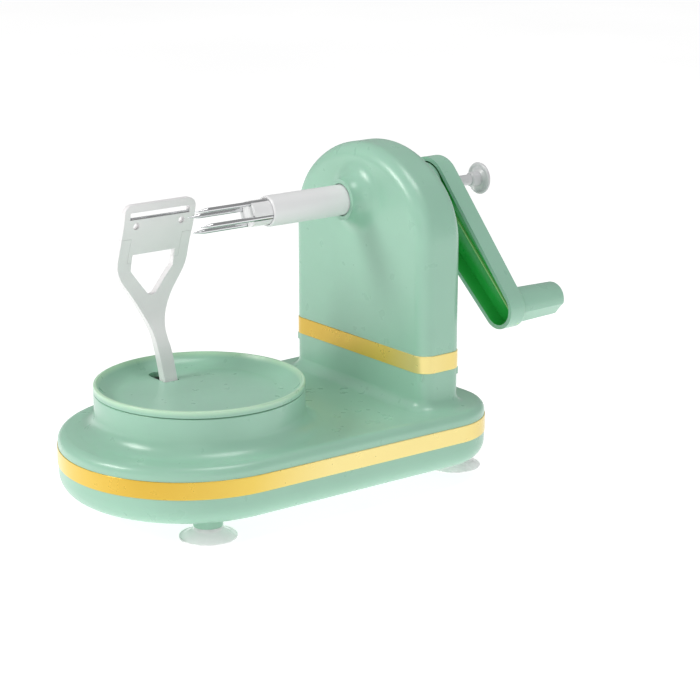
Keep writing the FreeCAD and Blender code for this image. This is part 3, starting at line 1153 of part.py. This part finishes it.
# ---------------------------------------------------------------- suction cups
def make_suction_cup(label, x, y):
    body = new_body(label)
    radius, seat, stem = dim("cup_radius"), dim("cup_boss_z"), CUP_STEM_RADIUS
    stem_top = seat + CUP_SOCKET_DEPTH - 0.2
    skirt_outer = Part.Arc(Vec(radius, 0.55, 0), Vec(9.6, 1.55, 0), Vec(6.4, seat - 1.7, 0))
    skirt_inner = Part.Arc(Vec(0, 2.0, 0), Vec(7.0, 1.25, 0), Vec(radius - 1.2, 0, 0))
    corners_top = [skirt_outer.EndPoint, Vec(5.9, seat, 0), Vec(stem, seat, 0), Vec(stem, stem_top - 0.8, 0),
                   Vec(stem - 0.8, stem_top, 0), Vec(0, stem_top, 0), skirt_inner.StartPoint]
    profile = [skirt_outer, skirt_inner]
    profile += [Part.LineSegment(a, b) for a, b in zip(corners_top, corners_top[1:])]
    profile += [Part.LineSegment(skirt_inner.EndPoint, Vec(radius, 0, 0)),
                Part.LineSegment(Vec(radius, 0, 0), skirt_outer.StartPoint)]
    revolve(body, "Revolution", "cup", profile)
    body.setExpression("Placement.Base.x", f"{x} - dims.middle_x")
    body.setExpression("Placement.Base.y", f"{y}")
    return body


# ---------------------------------------------------------------- build
make_lower_shell()
make_upper_shell()
make_trim_band("base_trim_band", base_outline, dim("band_seat"), "band_low_z", "band_high_z")
make_trim_band("tower_trim_band", tower_outline, dim("wall"), "tower_band_low_z",
               "tower_band_high_z")
make_tower_housing()
make_rear_cover()
make_screws("rear_cover_screws", COVER_SCREWS, 0, 6.0, False, X_AXIS, dim("tower_rear_x"))
make_screws("base_screws", SCREW_POSTS, dim("floor_z") + 2.8, 19.0)
make_screws("plate_screws", PLATE_POSTS, dim("plate_z") + dim("plate_thick") + 1.2, 4.4, False)
make_screws("bracket_screws", BRACKET_SCREWS, dim("dish_under_z") - PAD_DROP - 3.4, 6.2)
make_screws("gear_screws", GEAR_SCREWS, dim("gear_low_z") - 1.2, 9.4)
make_screws("tower_screws", TOWER_SCREWS, dim("tower_band_low_z") - 4.7, 16.0)
make_gear_plate()
make_gears()
make_train_hardware()
make_shaft_bracket()
ring("upper_shaft_bush", f"{SHAFT_BUSH}", "dims.upright_radius + dims.run_gap", "8.4",
     ("dims.shaft_x", "0", "dims.axis_z - 22"))
make_dish()
ring("slide_ring", "dims.drum_radius - 2.6", "dims.drum_radius - 6.3", "1.54", ("0", "0", "dims.slide_low_z"))
make_arm_bracket()
cylinder("arm_pivot_pin", "dims.pivot_radius", "19.4", ("-7.7", "dims.pivot_y", "dims.pivot_z"), X_AXIS)
make_arm_spring()
make_peeler_arm()
make_blade_head()
make_blade()
make_fork()
make_ejector()
make_crank()
for corner, (cup_x, cup_y) in CUP_PLACES.items():
    make_suction_cup(f"suction_cup_{corner}", cup_x, cup_y)

NODES = [
    "lower_shell", "upper_shell", "base_trim_band", "tower_trim_band", "tower_housing",
    "tower_rear_cover", "rear_cover_screws", "base_screws", "plate_screws", "gear_plate",
    "compound_stud", "idler_stud", "stud_clips", "spindle_bush", "lower_shaft_bush",
    "shaft_bracket", "upper_shaft_bush", "slide_ring", "front_bushing", "rear_bushing",
    "suction_cup_front_left", "suction_cup_front_right", "suction_cup_rear_left",
    "suction_cup_rear_right", "crank_arm", "grip_screw", "hub_set_screw", "drive_shaft",
    "drive_bevel_gear", "fork_sleeve", "prong_holder", "fork_prong_1", "fork_prong_2",
    "fork_prong_3", "fork_prong_4", "crank_grip", "ejector_plug", "push_rod", "push_knob",
    "vertical_shaft", "driven_bevel_gear", "shaft_pinion", "compound_gear", "idler_gear",
    "turntable_dish", "turntable_gear", "turntable_spindle", "spindle_clip", "arm_bracket",
    "bracket_screws", "gear_screws", "tower_screws", "arm_pivot_pin", "arm_spring", "peeler_arm",
    "blade_head", "peeling_blade",
]

doc.recompute()
problems = [item.Name for item in doc.Objects if "Invalid" in item.State or "Error" in item.State]
assert not problems, f"objects that failed to build: {problems}"
for node in NODES:
    found = doc.getObjectsByLabel(node)[0]
    assert not found.Shape.isNull(), f"{node} is empty"
    assert found.Shape.isValid(), f"{node} is not a valid shape"
    found.Shape.exportStep(f"parts/{node}.step")
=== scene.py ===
import json
import math

import bmesh
import bpy
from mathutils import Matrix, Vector


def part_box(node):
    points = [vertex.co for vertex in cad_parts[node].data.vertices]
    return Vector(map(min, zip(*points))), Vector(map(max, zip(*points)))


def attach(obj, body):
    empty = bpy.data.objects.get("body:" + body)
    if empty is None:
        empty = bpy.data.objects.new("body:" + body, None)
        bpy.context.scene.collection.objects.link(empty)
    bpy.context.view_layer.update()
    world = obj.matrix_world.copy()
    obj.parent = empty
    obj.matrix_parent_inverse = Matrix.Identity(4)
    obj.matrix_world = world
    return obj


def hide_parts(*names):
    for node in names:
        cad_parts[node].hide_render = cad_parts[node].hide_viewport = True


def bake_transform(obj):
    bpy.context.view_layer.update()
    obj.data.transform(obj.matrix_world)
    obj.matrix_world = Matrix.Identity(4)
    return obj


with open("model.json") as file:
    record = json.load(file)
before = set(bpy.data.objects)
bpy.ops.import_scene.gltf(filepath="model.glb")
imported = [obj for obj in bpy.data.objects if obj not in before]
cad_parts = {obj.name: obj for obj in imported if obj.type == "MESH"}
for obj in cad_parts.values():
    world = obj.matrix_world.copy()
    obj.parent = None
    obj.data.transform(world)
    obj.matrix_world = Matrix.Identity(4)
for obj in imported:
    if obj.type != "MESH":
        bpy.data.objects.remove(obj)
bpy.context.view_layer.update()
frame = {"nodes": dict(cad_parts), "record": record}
nodes = frame["nodes"]
record = frame["record"]
slot_of = {part["node"]: part["material_slot"] for part in record["subparts"]}
body_of = {node: body for body, members in record["behaviour"]["bodies"].items() for node in members}

MM = 0.001


# ---------------------------------------------------------------- node helpers
class Graph:
    """A small wrapper that adds nodes to a material and links them by socket name."""

    def __init__(self, name):
        self.material = bpy.data.materials.new(name)
        self.material.use_nodes = True
        self.tree = self.material.node_tree
        self.tree.nodes.clear()
        self.output = self.add("ShaderNodeOutputMaterial")
        self.shader = self.add("ShaderNodeBsdfPrincipled")
        self.link(self.shader, "BSDF", self.output, "Surface")
        coordinates = self.add("ShaderNodeTexCoord")
        self.place = (coordinates, "Object")

    def add(self, kind, **settings):
        node = self.tree.nodes.new(kind)
        for key, value in settings.items():
            if key in node.inputs:
                node.inputs[key].default_value = value
            else:
                setattr(node, key, value)
        return node

    def link(self, source, output, target, socket):
        self.tree.links.new(source.outputs[output], target.inputs[socket])

    def set(self, **values):
        for key, value in values.items():
            self.shader.inputs[key.replace("_", " ")].default_value = value

    def noise(self, scale, detail=2.0, roughness=0.5, stretch=None):
        """Noise in object space, stretched along an axis when asked."""
        texture = self.add("ShaderNodeTexNoise", Scale=scale, Detail=detail, Roughness=roughness)
        if stretch:
            mapping = self.add("ShaderNodeMapping")
            mapping.inputs["Scale"].default_value = stretch
            self.link(*self.place, mapping, "Vector")
            self.link(mapping, "Vector", texture, "Vector")
        else:
            self.link(*self.place, texture, "Vector")
        return texture

    def ramp(self, source, output, stops):
        """Colour ramp with (position, colour) stops."""
        ramp = self.add("ShaderNodeValToRGB")
        elements = ramp.color_ramp.elements
        elements[0].position, elements[0].color = stops[0]
        elements[1].position, elements[1].color = stops[-1]
        for position, color in stops[1:-1]:
            elements.new(position).color = color
        self.link(source, output, ramp, "Fac")
        return ramp

    def spread(self, source, low, high, output="Fac"):
        """Maps a 0 to 1 texture to a range."""
        spread = self.add("ShaderNodeMapRange")
        spread.inputs["From Min"].default_value = 0.3
        spread.inputs["From Max"].default_value = 0.7
        spread.inputs["To Min"].default_value = low
        spread.inputs["To Max"].default_value = high
        self.link(source, output, spread, "Value")
        return spread

    def bump(self, *layers):
        """Stacks bump layers of (texture, height in metres, strength)."""
        before = None
        for texture, distance, strength in layers:
            bump = self.add("ShaderNodeBump", Strength=strength, Distance=distance)
            self.link(texture, "Fac", bump, "Height")
            if before:
                self.link(before, "Normal", bump, "Normal")
            before = bump
        self.link(before, "Normal", self.shader, "Normal")


def color(red, green, blue):
    """Scene-linear colour from 0 to 255 display values."""
    def linear(value):
        share = value / 255
        return share / 12.92 if share <= 0.04045 else ((share + 0.055) / 1.055) ** 2.4
    return (linear(red), linear(green), linear(blue), 1.0)


def shade(rgba, factor):
    return (rgba[0] * factor, rgba[1] * factor, rgba[2] * factor, 1.0)


# ---------------------------------------------------------------- materials
def mixed(graph, factor, output, below, above):
    """Colour that goes from one socket to a second colour or socket by a factor socket."""
    blend = graph.add("ShaderNodeMix", data_type="RGBA")
    graph.link(factor, output, blend, "Factor")
    graph.tree.links.new(below, blend.inputs[6])
    if isinstance(above, tuple):
        blend.inputs[7].default_value = above
    else:
        graph.tree.links.new(above, blend.inputs[7])
    return blend.outputs[2]


def height_share(graph, low, high):
    """0 below the low height and 1 above the high one, along the object's own Z."""
    parts = graph.add("ShaderNodeSeparateXYZ")
    graph.link(*graph.place, parts, "Vector")
    share = graph.add("ShaderNodeMapRange")
    share.inputs["From Min"].default_value = low
    share.inputs["From Max"].default_value = high
    graph.link(parts, "Z", share, "Value")
    return share


def band_mask(graph, vector, normal, offset, half_width):
    """1 within half_width of a plane across the object, given by its normal and offset."""
    dot = graph.add("ShaderNodeVectorMath", operation="DOT_PRODUCT")
    dot.inputs[1].default_value = normal
    graph.link(*vector, dot, "Vector")
    compare = graph.add("ShaderNodeMath", operation="COMPARE")
    compare.inputs[1].default_value = offset
    compare.inputs[2].default_value = half_width
    graph.link(dot, "Value", compare, "Value")
    return compare


def moulded_plastic(name, body, hollow_shade, depth, roughness, grain, glow=0.0, cover=(0.12, 0.75),
                    rim=None, rib=None):
    """Moulded plastic: faint mottling, fine grain, and painted shade: a deeper hue mixed into hollows where
    light would bounce.

    cover gives the openness below which the painted shade colour is full and above which it is gone.
    rim is (low, high, colour): a painted glow, paler towards the top, where a thin upright edge lets light
    through.
    rib is (colour, masks): a painted glow where a thin rib lets light through; each mask is (normal, offset,
    half width)."""
    graph = Graph(name)
    cloud = graph.noise(38.0, 3.0)
    tint = graph.ramp(cloud, "Fac", [(0.3, shade(body, 0.97)), (0.7, shade(body, 1.02))])
    base = tint.outputs["Color"]
    # Painted glow: a paler colour near the top edge.
    if rim:
        low, high, painted_glow = rim
        base = mixed(graph, height_share(graph, low, high), "Result", base, painted_glow)
    # Painted shade: where occlusion finds a hollow, the deeper shade colour is mixed in.
    hidden = graph.add("ShaderNodeAmbientOcclusion", samples=8, only_local=True, Distance=depth)
    shade_share = graph.ramp(hidden, "AO", [(cover[0], (1, 1, 1, 1)), (cover[1], (0, 0, 0, 1))])
    base = mixed(graph, shade_share, "Color", base, hollow_shade)
    # Painted glow along the thin rib.
    if rib:
        painted_glow, masks = rib
        first, second = (band_mask(graph, graph.place, *mask) for mask in masks)
        both = graph.add("ShaderNodeMath", operation="MULTIPLY")
        graph.link(first, "Value", both, "Value")
        graph.tree.links.new(second.outputs["Value"], both.inputs[1])
        base = mixed(graph, both, "Value", base, painted_glow)
    graph.tree.links.new(base, graph.shader.inputs["Base Color"])
    wear = graph.noise(120.0, 4.0)
    graph.link(graph.spread(wear, roughness - 0.035, roughness + 0.045), "Result", graph.shader, "Roughness")
    fine = graph.noise(800.0, 1.0)
    soft = graph.noise(55.0, 1.0)
    graph.bump((soft, 0.0004, 0.05), (fine, 0.00001, grain))
    graph.set(IOR=1.49, Coat_Weight=0.3, Coat_Roughness=0.26)
    if glow:
        graph.set(Subsurface_Weight=glow, Subsurface_Scale=0.0025, Subsurface_Radius=(0.35, 1.0, 0.5))
    return graph.material


def gold_foil(name):
    """Hot-stamped yellow foil with painted reflections: broad soft changes from pale to amber, nearly free of
    streaks.
    """
    graph = Graph(name)
    reflection_noise = graph.noise(9.0, 0.0, 0.4, stretch=(1.0, 1.0, 0.3))
    worn = graph.noise(150.0, 3.0)
    # Painted reflection: pale and amber patches stand in for reflected softboxes.
    tint = graph.ramp(reflection_noise, "Fac", [(0.34, color(224, 182, 56)), (0.5, color(242, 208, 92)),
                                     (0.66, color(253, 232, 152))])
    graph.link(tint, "Color", graph.shader, "Base Color")
    graph.link(graph.spread(worn, 0.26, 0.34), "Result", graph.shader, "Roughness")
    fine = graph.noise(900.0, 1.0)
    graph.bump((reflection_noise, 0.0004, 0.05), (fine, 0.00001, 0.08))
    graph.set(Metallic=0.4, Coat_Weight=0.25, Coat_Roughness=0.2)
    return graph.material


def steel(name, tone, roughness, stretch):
    """Polished or drawn steel with fine streaks along the drawing direction."""
    graph = Graph(name)
    streak = graph.noise(180.0, 5.0, 0.65, stretch=stretch)
    tint = graph.ramp(streak, "Fac", [(0.3, shade(tone, 0.86)), (0.7, tone)])
    graph.link(tint, "Color", graph.shader, "Base Color")
    graph.link(graph.spread(streak, roughness * 0.75, roughness * 1.3), "Result", graph.shader, "Roughness")
    graph.bump((streak, 0.00002, 0.15))
    graph.set(Metallic=1.0)
    return graph.material


def clear_vinyl(name):
    """Soft milky vinyl: light spreads inside it and part of it passes straight through."""
    graph = Graph(name)
    cloud = graph.noise(90.0, 3.0)
    tint = graph.ramp(cloud, "Fac", [(0.3, color(250, 251, 251)), (0.7, color(254, 254, 254))])
    graph.link(tint, "Color", graph.shader, "Base Color")
    graph.link(graph.spread(cloud, 0.16, 0.28), "Result", graph.shader, "Roughness")
    fine = graph.noise(1500.0, 2.0)
    graph.bump((cloud, 0.0003, 0.08), (fine, 0.00002, 0.2))
    graph.set(IOR=1.4, Transmission_Weight=0.04, Subsurface_Weight=0.8, Subsurface_Scale=0.004,
              Subsurface_Radius=(1.0, 1.0, 1.0))
    return graph.material


MINT = color(161, 207, 184)
# Painted shade colours, mixed into hollows: deeper, more saturated greens.
MINT_SHADE = color(112, 188, 143)
DISH_SHADE = color(84, 182, 116)
MINT_DEEP_SHADE = color(48, 192, 82)
# Painted glow colours: paler tones where thin plastic lets light through.
RIB_EDGE_GLOW = color(176, 226, 150)
MINT_RIM_GLOW = color(196, 232, 202)
# The dish's painted glow band runs from 2.2 mm to 0.6 mm below its top.
dish_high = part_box("turntable_dish")[1]
rim_from, rim_to = dish_high.z - 2.2 * MM, dish_high.z - 0.6 * MM
DISH_RIM_GLOW = (rim_from, rim_to, MINT_RIM_GLOW)
# Columns: body colour, painted shade colour for hollows, occlusion distance, roughness, grain.
PLAIN_TONES = {
    "white_plastic": (color(244, 244, 245), color(222, 223, 225), 0.006, 0.38, 0.12),
    "pale_plastic": (color(248, 246, 247), color(229, 227, 228), 0.004, 0.40, 0.14),
    "grey_plastic": (color(214, 214, 216), color(176, 177, 179), 0.005, 0.32, 0.08),
    "gear_nylon": (color(235, 233, 225), color(200, 198, 190), 0.004, 0.45, 0.10),
    "bearing_plastic": (color(225, 225, 222), color(190, 190, 187), 0.004, 0.45, 0.08),
    "inner_plastic": (color(205, 210, 205), color(170, 175, 170), 0.004, 0.50, 0.10),
}
MATERIALS = {name: moulded_plastic(name, *tones) for name, tones in PLAIN_TONES.items()}
MATERIALS.update({
    "mint_shell": moulded_plastic("mint_shell", MINT, MINT_SHADE, 0.010, 0.30, 0.10, 0.06, (0.05, 0.45)),
    "mint_grip": moulded_plastic("mint_grip", MINT, MINT_SHADE, 0.006, 0.30, 0.10, 0.05),
    "mint_dish": moulded_plastic("mint_dish", MINT, DISH_SHADE, 0.012, 0.30, 0.10, 0.08, (0.3, 0.95),
                                 DISH_RIM_GLOW),
    "gold_trim": gold_foil("gold_trim"),
    "clear_vinyl": clear_vinyl("clear_vinyl"),
    "bright_steel": steel("bright_steel", color(225, 226, 228), 0.14, (1.0, 30.0, 30.0)),
    "plain_steel": steel("plain_steel", color(200, 201, 203), 0.28, (1.0, 1.0, 12.0)),
    "screw_steel": steel("screw_steel", color(188, 189, 190), 0.3, (8.0, 8.0, 1.0)),
    "spring_steel": steel("spring_steel", color(160, 160, 162), 0.3, (6.0, 1.0, 1.0)),
})


RIB_DEPTH = 6.7 * MM
RIB_HALF = 0.45 * MM


def crank_rib():
    """Where the rib stands in the channel and gets its painted glow: along the line from shaft to grip, low
    above the floor.
    """
    joints = {joint["name"]: Vector(joint["pos_m"])
              for joint in record["behaviour"]["joints"] if "pos_m" in joint}
    to_local = nodes["crank_arm"].matrix_world.inverted()
    shaft = to_local @ joints["crank_turn"]
    grip = to_local @ joints["grip_spin"]
    across = Vector((0.0, grip.z - shaft.z, shaft.y - grip.y)).normalized()
    rib_x = (to_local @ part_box("crank_arm")[0]).x + RIB_DEPTH
    along_crank = (across, across.dot(shaft), RIB_HALF)
    above_floor = (Vector((1.0, 0.0, 0.0)), rib_x, RIB_HALF)
    return (RIB_EDGE_GLOW, (along_crank, above_floor))


# The channel gets painted shade in its hollows and a painted glow on its rib.
crank_plastic = moulded_plastic("mint_channel", MINT, MINT_DEEP_SHADE, 0.014, 0.30, 0.10, 0.06, (0.8, 0.99),
                                rib=crank_rib())
for name, node in nodes.items():
    node.data.materials.clear()
    node.data.materials.append(MATERIALS[slot_of[name]])
nodes["crank_arm"].data.materials[0] = crank_plastic


# ---------------------------------------------------------------- pieces
def finished(piece, name):
    """Hangs a piece that stands for a CAD node on that node's body and hides that node."""
    bpy.context.scene.collection.objects.link(piece)
    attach(piece, body_of[name])
    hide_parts(name)
    return piece


def softened(name, width, steps=2, crease=math.radians(35)):
    """The shape of a CAD node with its sharp moulding edges rounded, which stands for that node."""
    work = bmesh.new()
    work.from_mesh(nodes[name].data)
    bmesh.ops.remove_doubles(work, verts=work.verts, dist=0.002 * MM)
    bmesh.ops.dissolve_limit(work, angle_limit=math.radians(0.6), verts=work.verts, edges=work.edges)
    sharp = [edge for edge in work.edges if edge.is_manifold and edge.calc_face_angle() > crease]
    bmesh.ops.bevel(work, geom=sharp, offset=width, offset_type="OFFSET", segments=steps, profile=0.5,
                    affect="EDGES", clamp_overlap=True)
    mesh = bpy.data.meshes.new(f"{name}_shape")
    work.to_mesh(mesh)
    work.free()
    mesh.shade_smooth()
    mesh.materials.append(MATERIALS[slot_of[name]])
    piece = bpy.data.objects.new(f"{name}_moulding", mesh)
    normals = piece.modifiers.new("normals", "WEIGHTED_NORMAL")
    normals.keep_sharp = True
    return finished(piece, name)


def lathe(name, profile, angles, centre, inset):
    """A closed turned shape along X. profile is (x, radius, is_outside), and inset lowers the outside."""
    work = bmesh.new()
    loops = []
    for x, radius, is_outside in profile:
        loop = []
        for angle in angles:
            reach = radius - (inset(angle) if is_outside else 0.0)
            y = centre.y + reach * math.cos(angle)
            z = centre.z + reach * math.sin(angle)
            loop.append(work.verts.new((x, y, z)))
        loops.append(loop)
    count = len(angles)
    for near, far in zip(loops, loops[1:] + loops[:1]):
        for step in range(count):
            following = (step + 1) % count
            work.faces.new((near[step], near[following], far[following], far[step]))
    bmesh.ops.recalc_face_normals(work, faces=work.faces)
    mesh = bpy.data.meshes.new(name)
    work.to_mesh(mesh)
    work.free()
    mesh.shade_smooth()
    mesh.set_sharp_from_angle(angle=math.radians(20))
    return mesh


def make_grip():
    """The handle: a tapered barrel with a flat facet low on each side, which starts at a crisp line."""
    low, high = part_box("crank_grip")
    near_radius = (high.z - low.z) / 2
    far_radius, nose, pocket, bore = near_radius - 0.6 * MM, 2.6 * MM, 4.7 * MM, 3.06 * MM
    floor_x = high.x - 2.5 * MM
    facet_turn, facet_half = math.radians(12), math.radians(30)
    centre = (low + high) / 2

    facets = (-facet_turn - facet_half, math.pi + facet_turn + facet_half)

    def inset(angle):
        """How far a facet lies inside the round barrel, none elsewhere."""
        for middle in facets:
            off = abs((angle - middle + math.pi) % math.tau - math.pi)
            if off < facet_half:
                return near_radius * (1 - math.cos(facet_half) / math.cos(off))
        return 0.0

    profile = [(low.x, bore, False), (low.x, near_radius - 0.5 * MM, True)]
    profile += [(low.x + 0.5 * MM * (1 - math.cos(turn)), near_radius - 0.5 * MM * (1 - math.sin(turn)), True)
                for turn in (math.pi / 6, math.pi / 3, math.pi / 2)]
    rounding = 10
    for step in range(rounding + 1):
        turn = math.pi / 2 * step / rounding
        profile.append((high.x - nose * (1 - math.sin(turn)), far_radius - nose * (1 - math.cos(turn)), True))
    profile += [(high.x, pocket + 0.2 * MM, False), (high.x - 0.2 * MM, pocket, False),
                (floor_x, pocket, False), (floor_x, bore, False)]
    sides = 96
    edges = [middle + side * facet_half for middle in facets for side in (-1, 1)]
    angles = sorted({round(angle % math.tau, 6) for angle in
                     [math.tau * side / sides for side in range(sides)] + edges})
    mesh = lathe("crank_grip_shape", profile, angles, centre, inset)
    mesh.materials.append(MATERIALS["mint_grip"])
    return finished(bpy.data.objects.new("crank_grip_barrel", mesh), "crank_grip")


def make_arm_spring():
    """The torsion spring between the bracket and the arm, copied as one fixed coil that doesn't wind as the
    arm swings.
    """
    node = nodes["arm_spring"]
    piece = bpy.data.objects.new("arm_spring_coil", node.data.copy())
    piece.matrix_world = node.matrix_world
    bpy.context.scene.collection.objects.link(piece)
    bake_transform(piece)
    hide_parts("arm_spring")


softened("peeler_arm", 0.45 * MM)
softened("blade_head", 0.22 * MM)
make_grip()
make_arm_spring()


# ---------------------------------------------------------------- stage
def staged(obj):
    bpy.context.scene.collection.objects.link(obj)
    return obj


def make_floor():
    """A wide, flat, pale floor, which glows a little so that it reads as white."""
    graph = Graph("floor_paint")
    cloud = graph.noise(3.0, 3.0)
    tint = graph.ramp(cloud, "Fac", [(0.3, color(188, 188, 188)), (0.7, color(194, 194, 194))])
    graph.link(tint, "Color", graph.shader, "Base Color")
    glow = graph.ramp(cloud, "Fac", [(0.3, color(250, 250, 250)), (0.7, color(253, 253, 253))])
    graph.link(graph.spread(cloud, 0.55, 0.65), "Result", graph.shader, "Roughness")
    graph.link(glow, "Color", graph.shader, "Emission Color")
    graph.set(Emission_Strength=0.8)
    mesh = bpy.data.meshes.new("floor")
    half = 6.0
    corners = [(-half, -half, 0), (half, -half, 0), (half, half, 0), (-half, half, 0)]
    mesh.from_pydata(corners, [], [(0, 1, 2, 3)])
    mesh.materials.append(graph.material)
    return staged(bpy.data.objects.new("floor", mesh))


def make_light(name, position, aim, width, height, power, tone=(1.0, 1.0, 1.0)):
    lamp = bpy.data.lights.new(name, "AREA")
    lamp.shape = "RECTANGLE"
    lamp.size, lamp.size_y = width, height
    lamp.energy = power
    lamp.color = tone
    obj = bpy.data.objects.new(name, lamp)
    obj.location = position
    obj.rotation_euler = (aim - Vector(position)).to_track_quat("-Z", "Y").to_euler()
    return staged(obj)


def make_world():
    world = bpy.data.worlds.new("studio")
    bpy.context.scene.world = world
    world.use_nodes = True
    background = world.node_tree.nodes["Background"]
    background.inputs["Color"].default_value = (1.0, 1.0, 1.0, 1.0)
    background.inputs["Strength"].default_value = 0.34


def make_camera():
    """Long lens at the height and side that the tool is usually shown from."""
    azimuth, elevation, distance = math.radians(-38.12), math.radians(15.93), 0.9188
    aim = Vector((0.0332, 0.0, 0.0552))
    away = Vector((math.sin(azimuth) * math.cos(elevation), -math.cos(azimuth) * math.cos(elevation),
                   math.sin(elevation)))
    camera = bpy.data.cameras.new("camera")
    camera.lens = 100.6
    camera.sensor_width = 36.0
    camera.clip_start, camera.clip_end = 0.01, 50.0
    obj = bpy.data.objects.new("camera", camera)
    obj.location = aim + away * distance
    obj.rotation_euler = (-away).to_track_quat("-Z", "Y").to_euler()
    bpy.context.scene.collection.objects.link(obj)
    bpy.context.scene.camera = obj


make_world()
make_floor()
centre = Vector((0.0, 0.0, 0.08))
make_light("key", (-0.95, 0.35, 0.75), centre, 0.35, 0.35, 5.5, (1.0, 0.99, 0.97))
make_light("front_fill", (-0.95, -0.95, 0.55), centre, 0.9, 0.7, 1.5)
make_light("top_soft", (0.15, -0.25, 1.25), centre, 0.5, 0.5, 4.2)
make_camera()
bpy.context.scene.view_settings.view_transform = "Standard"
bpy.context.scene.view_settings.look = "None"
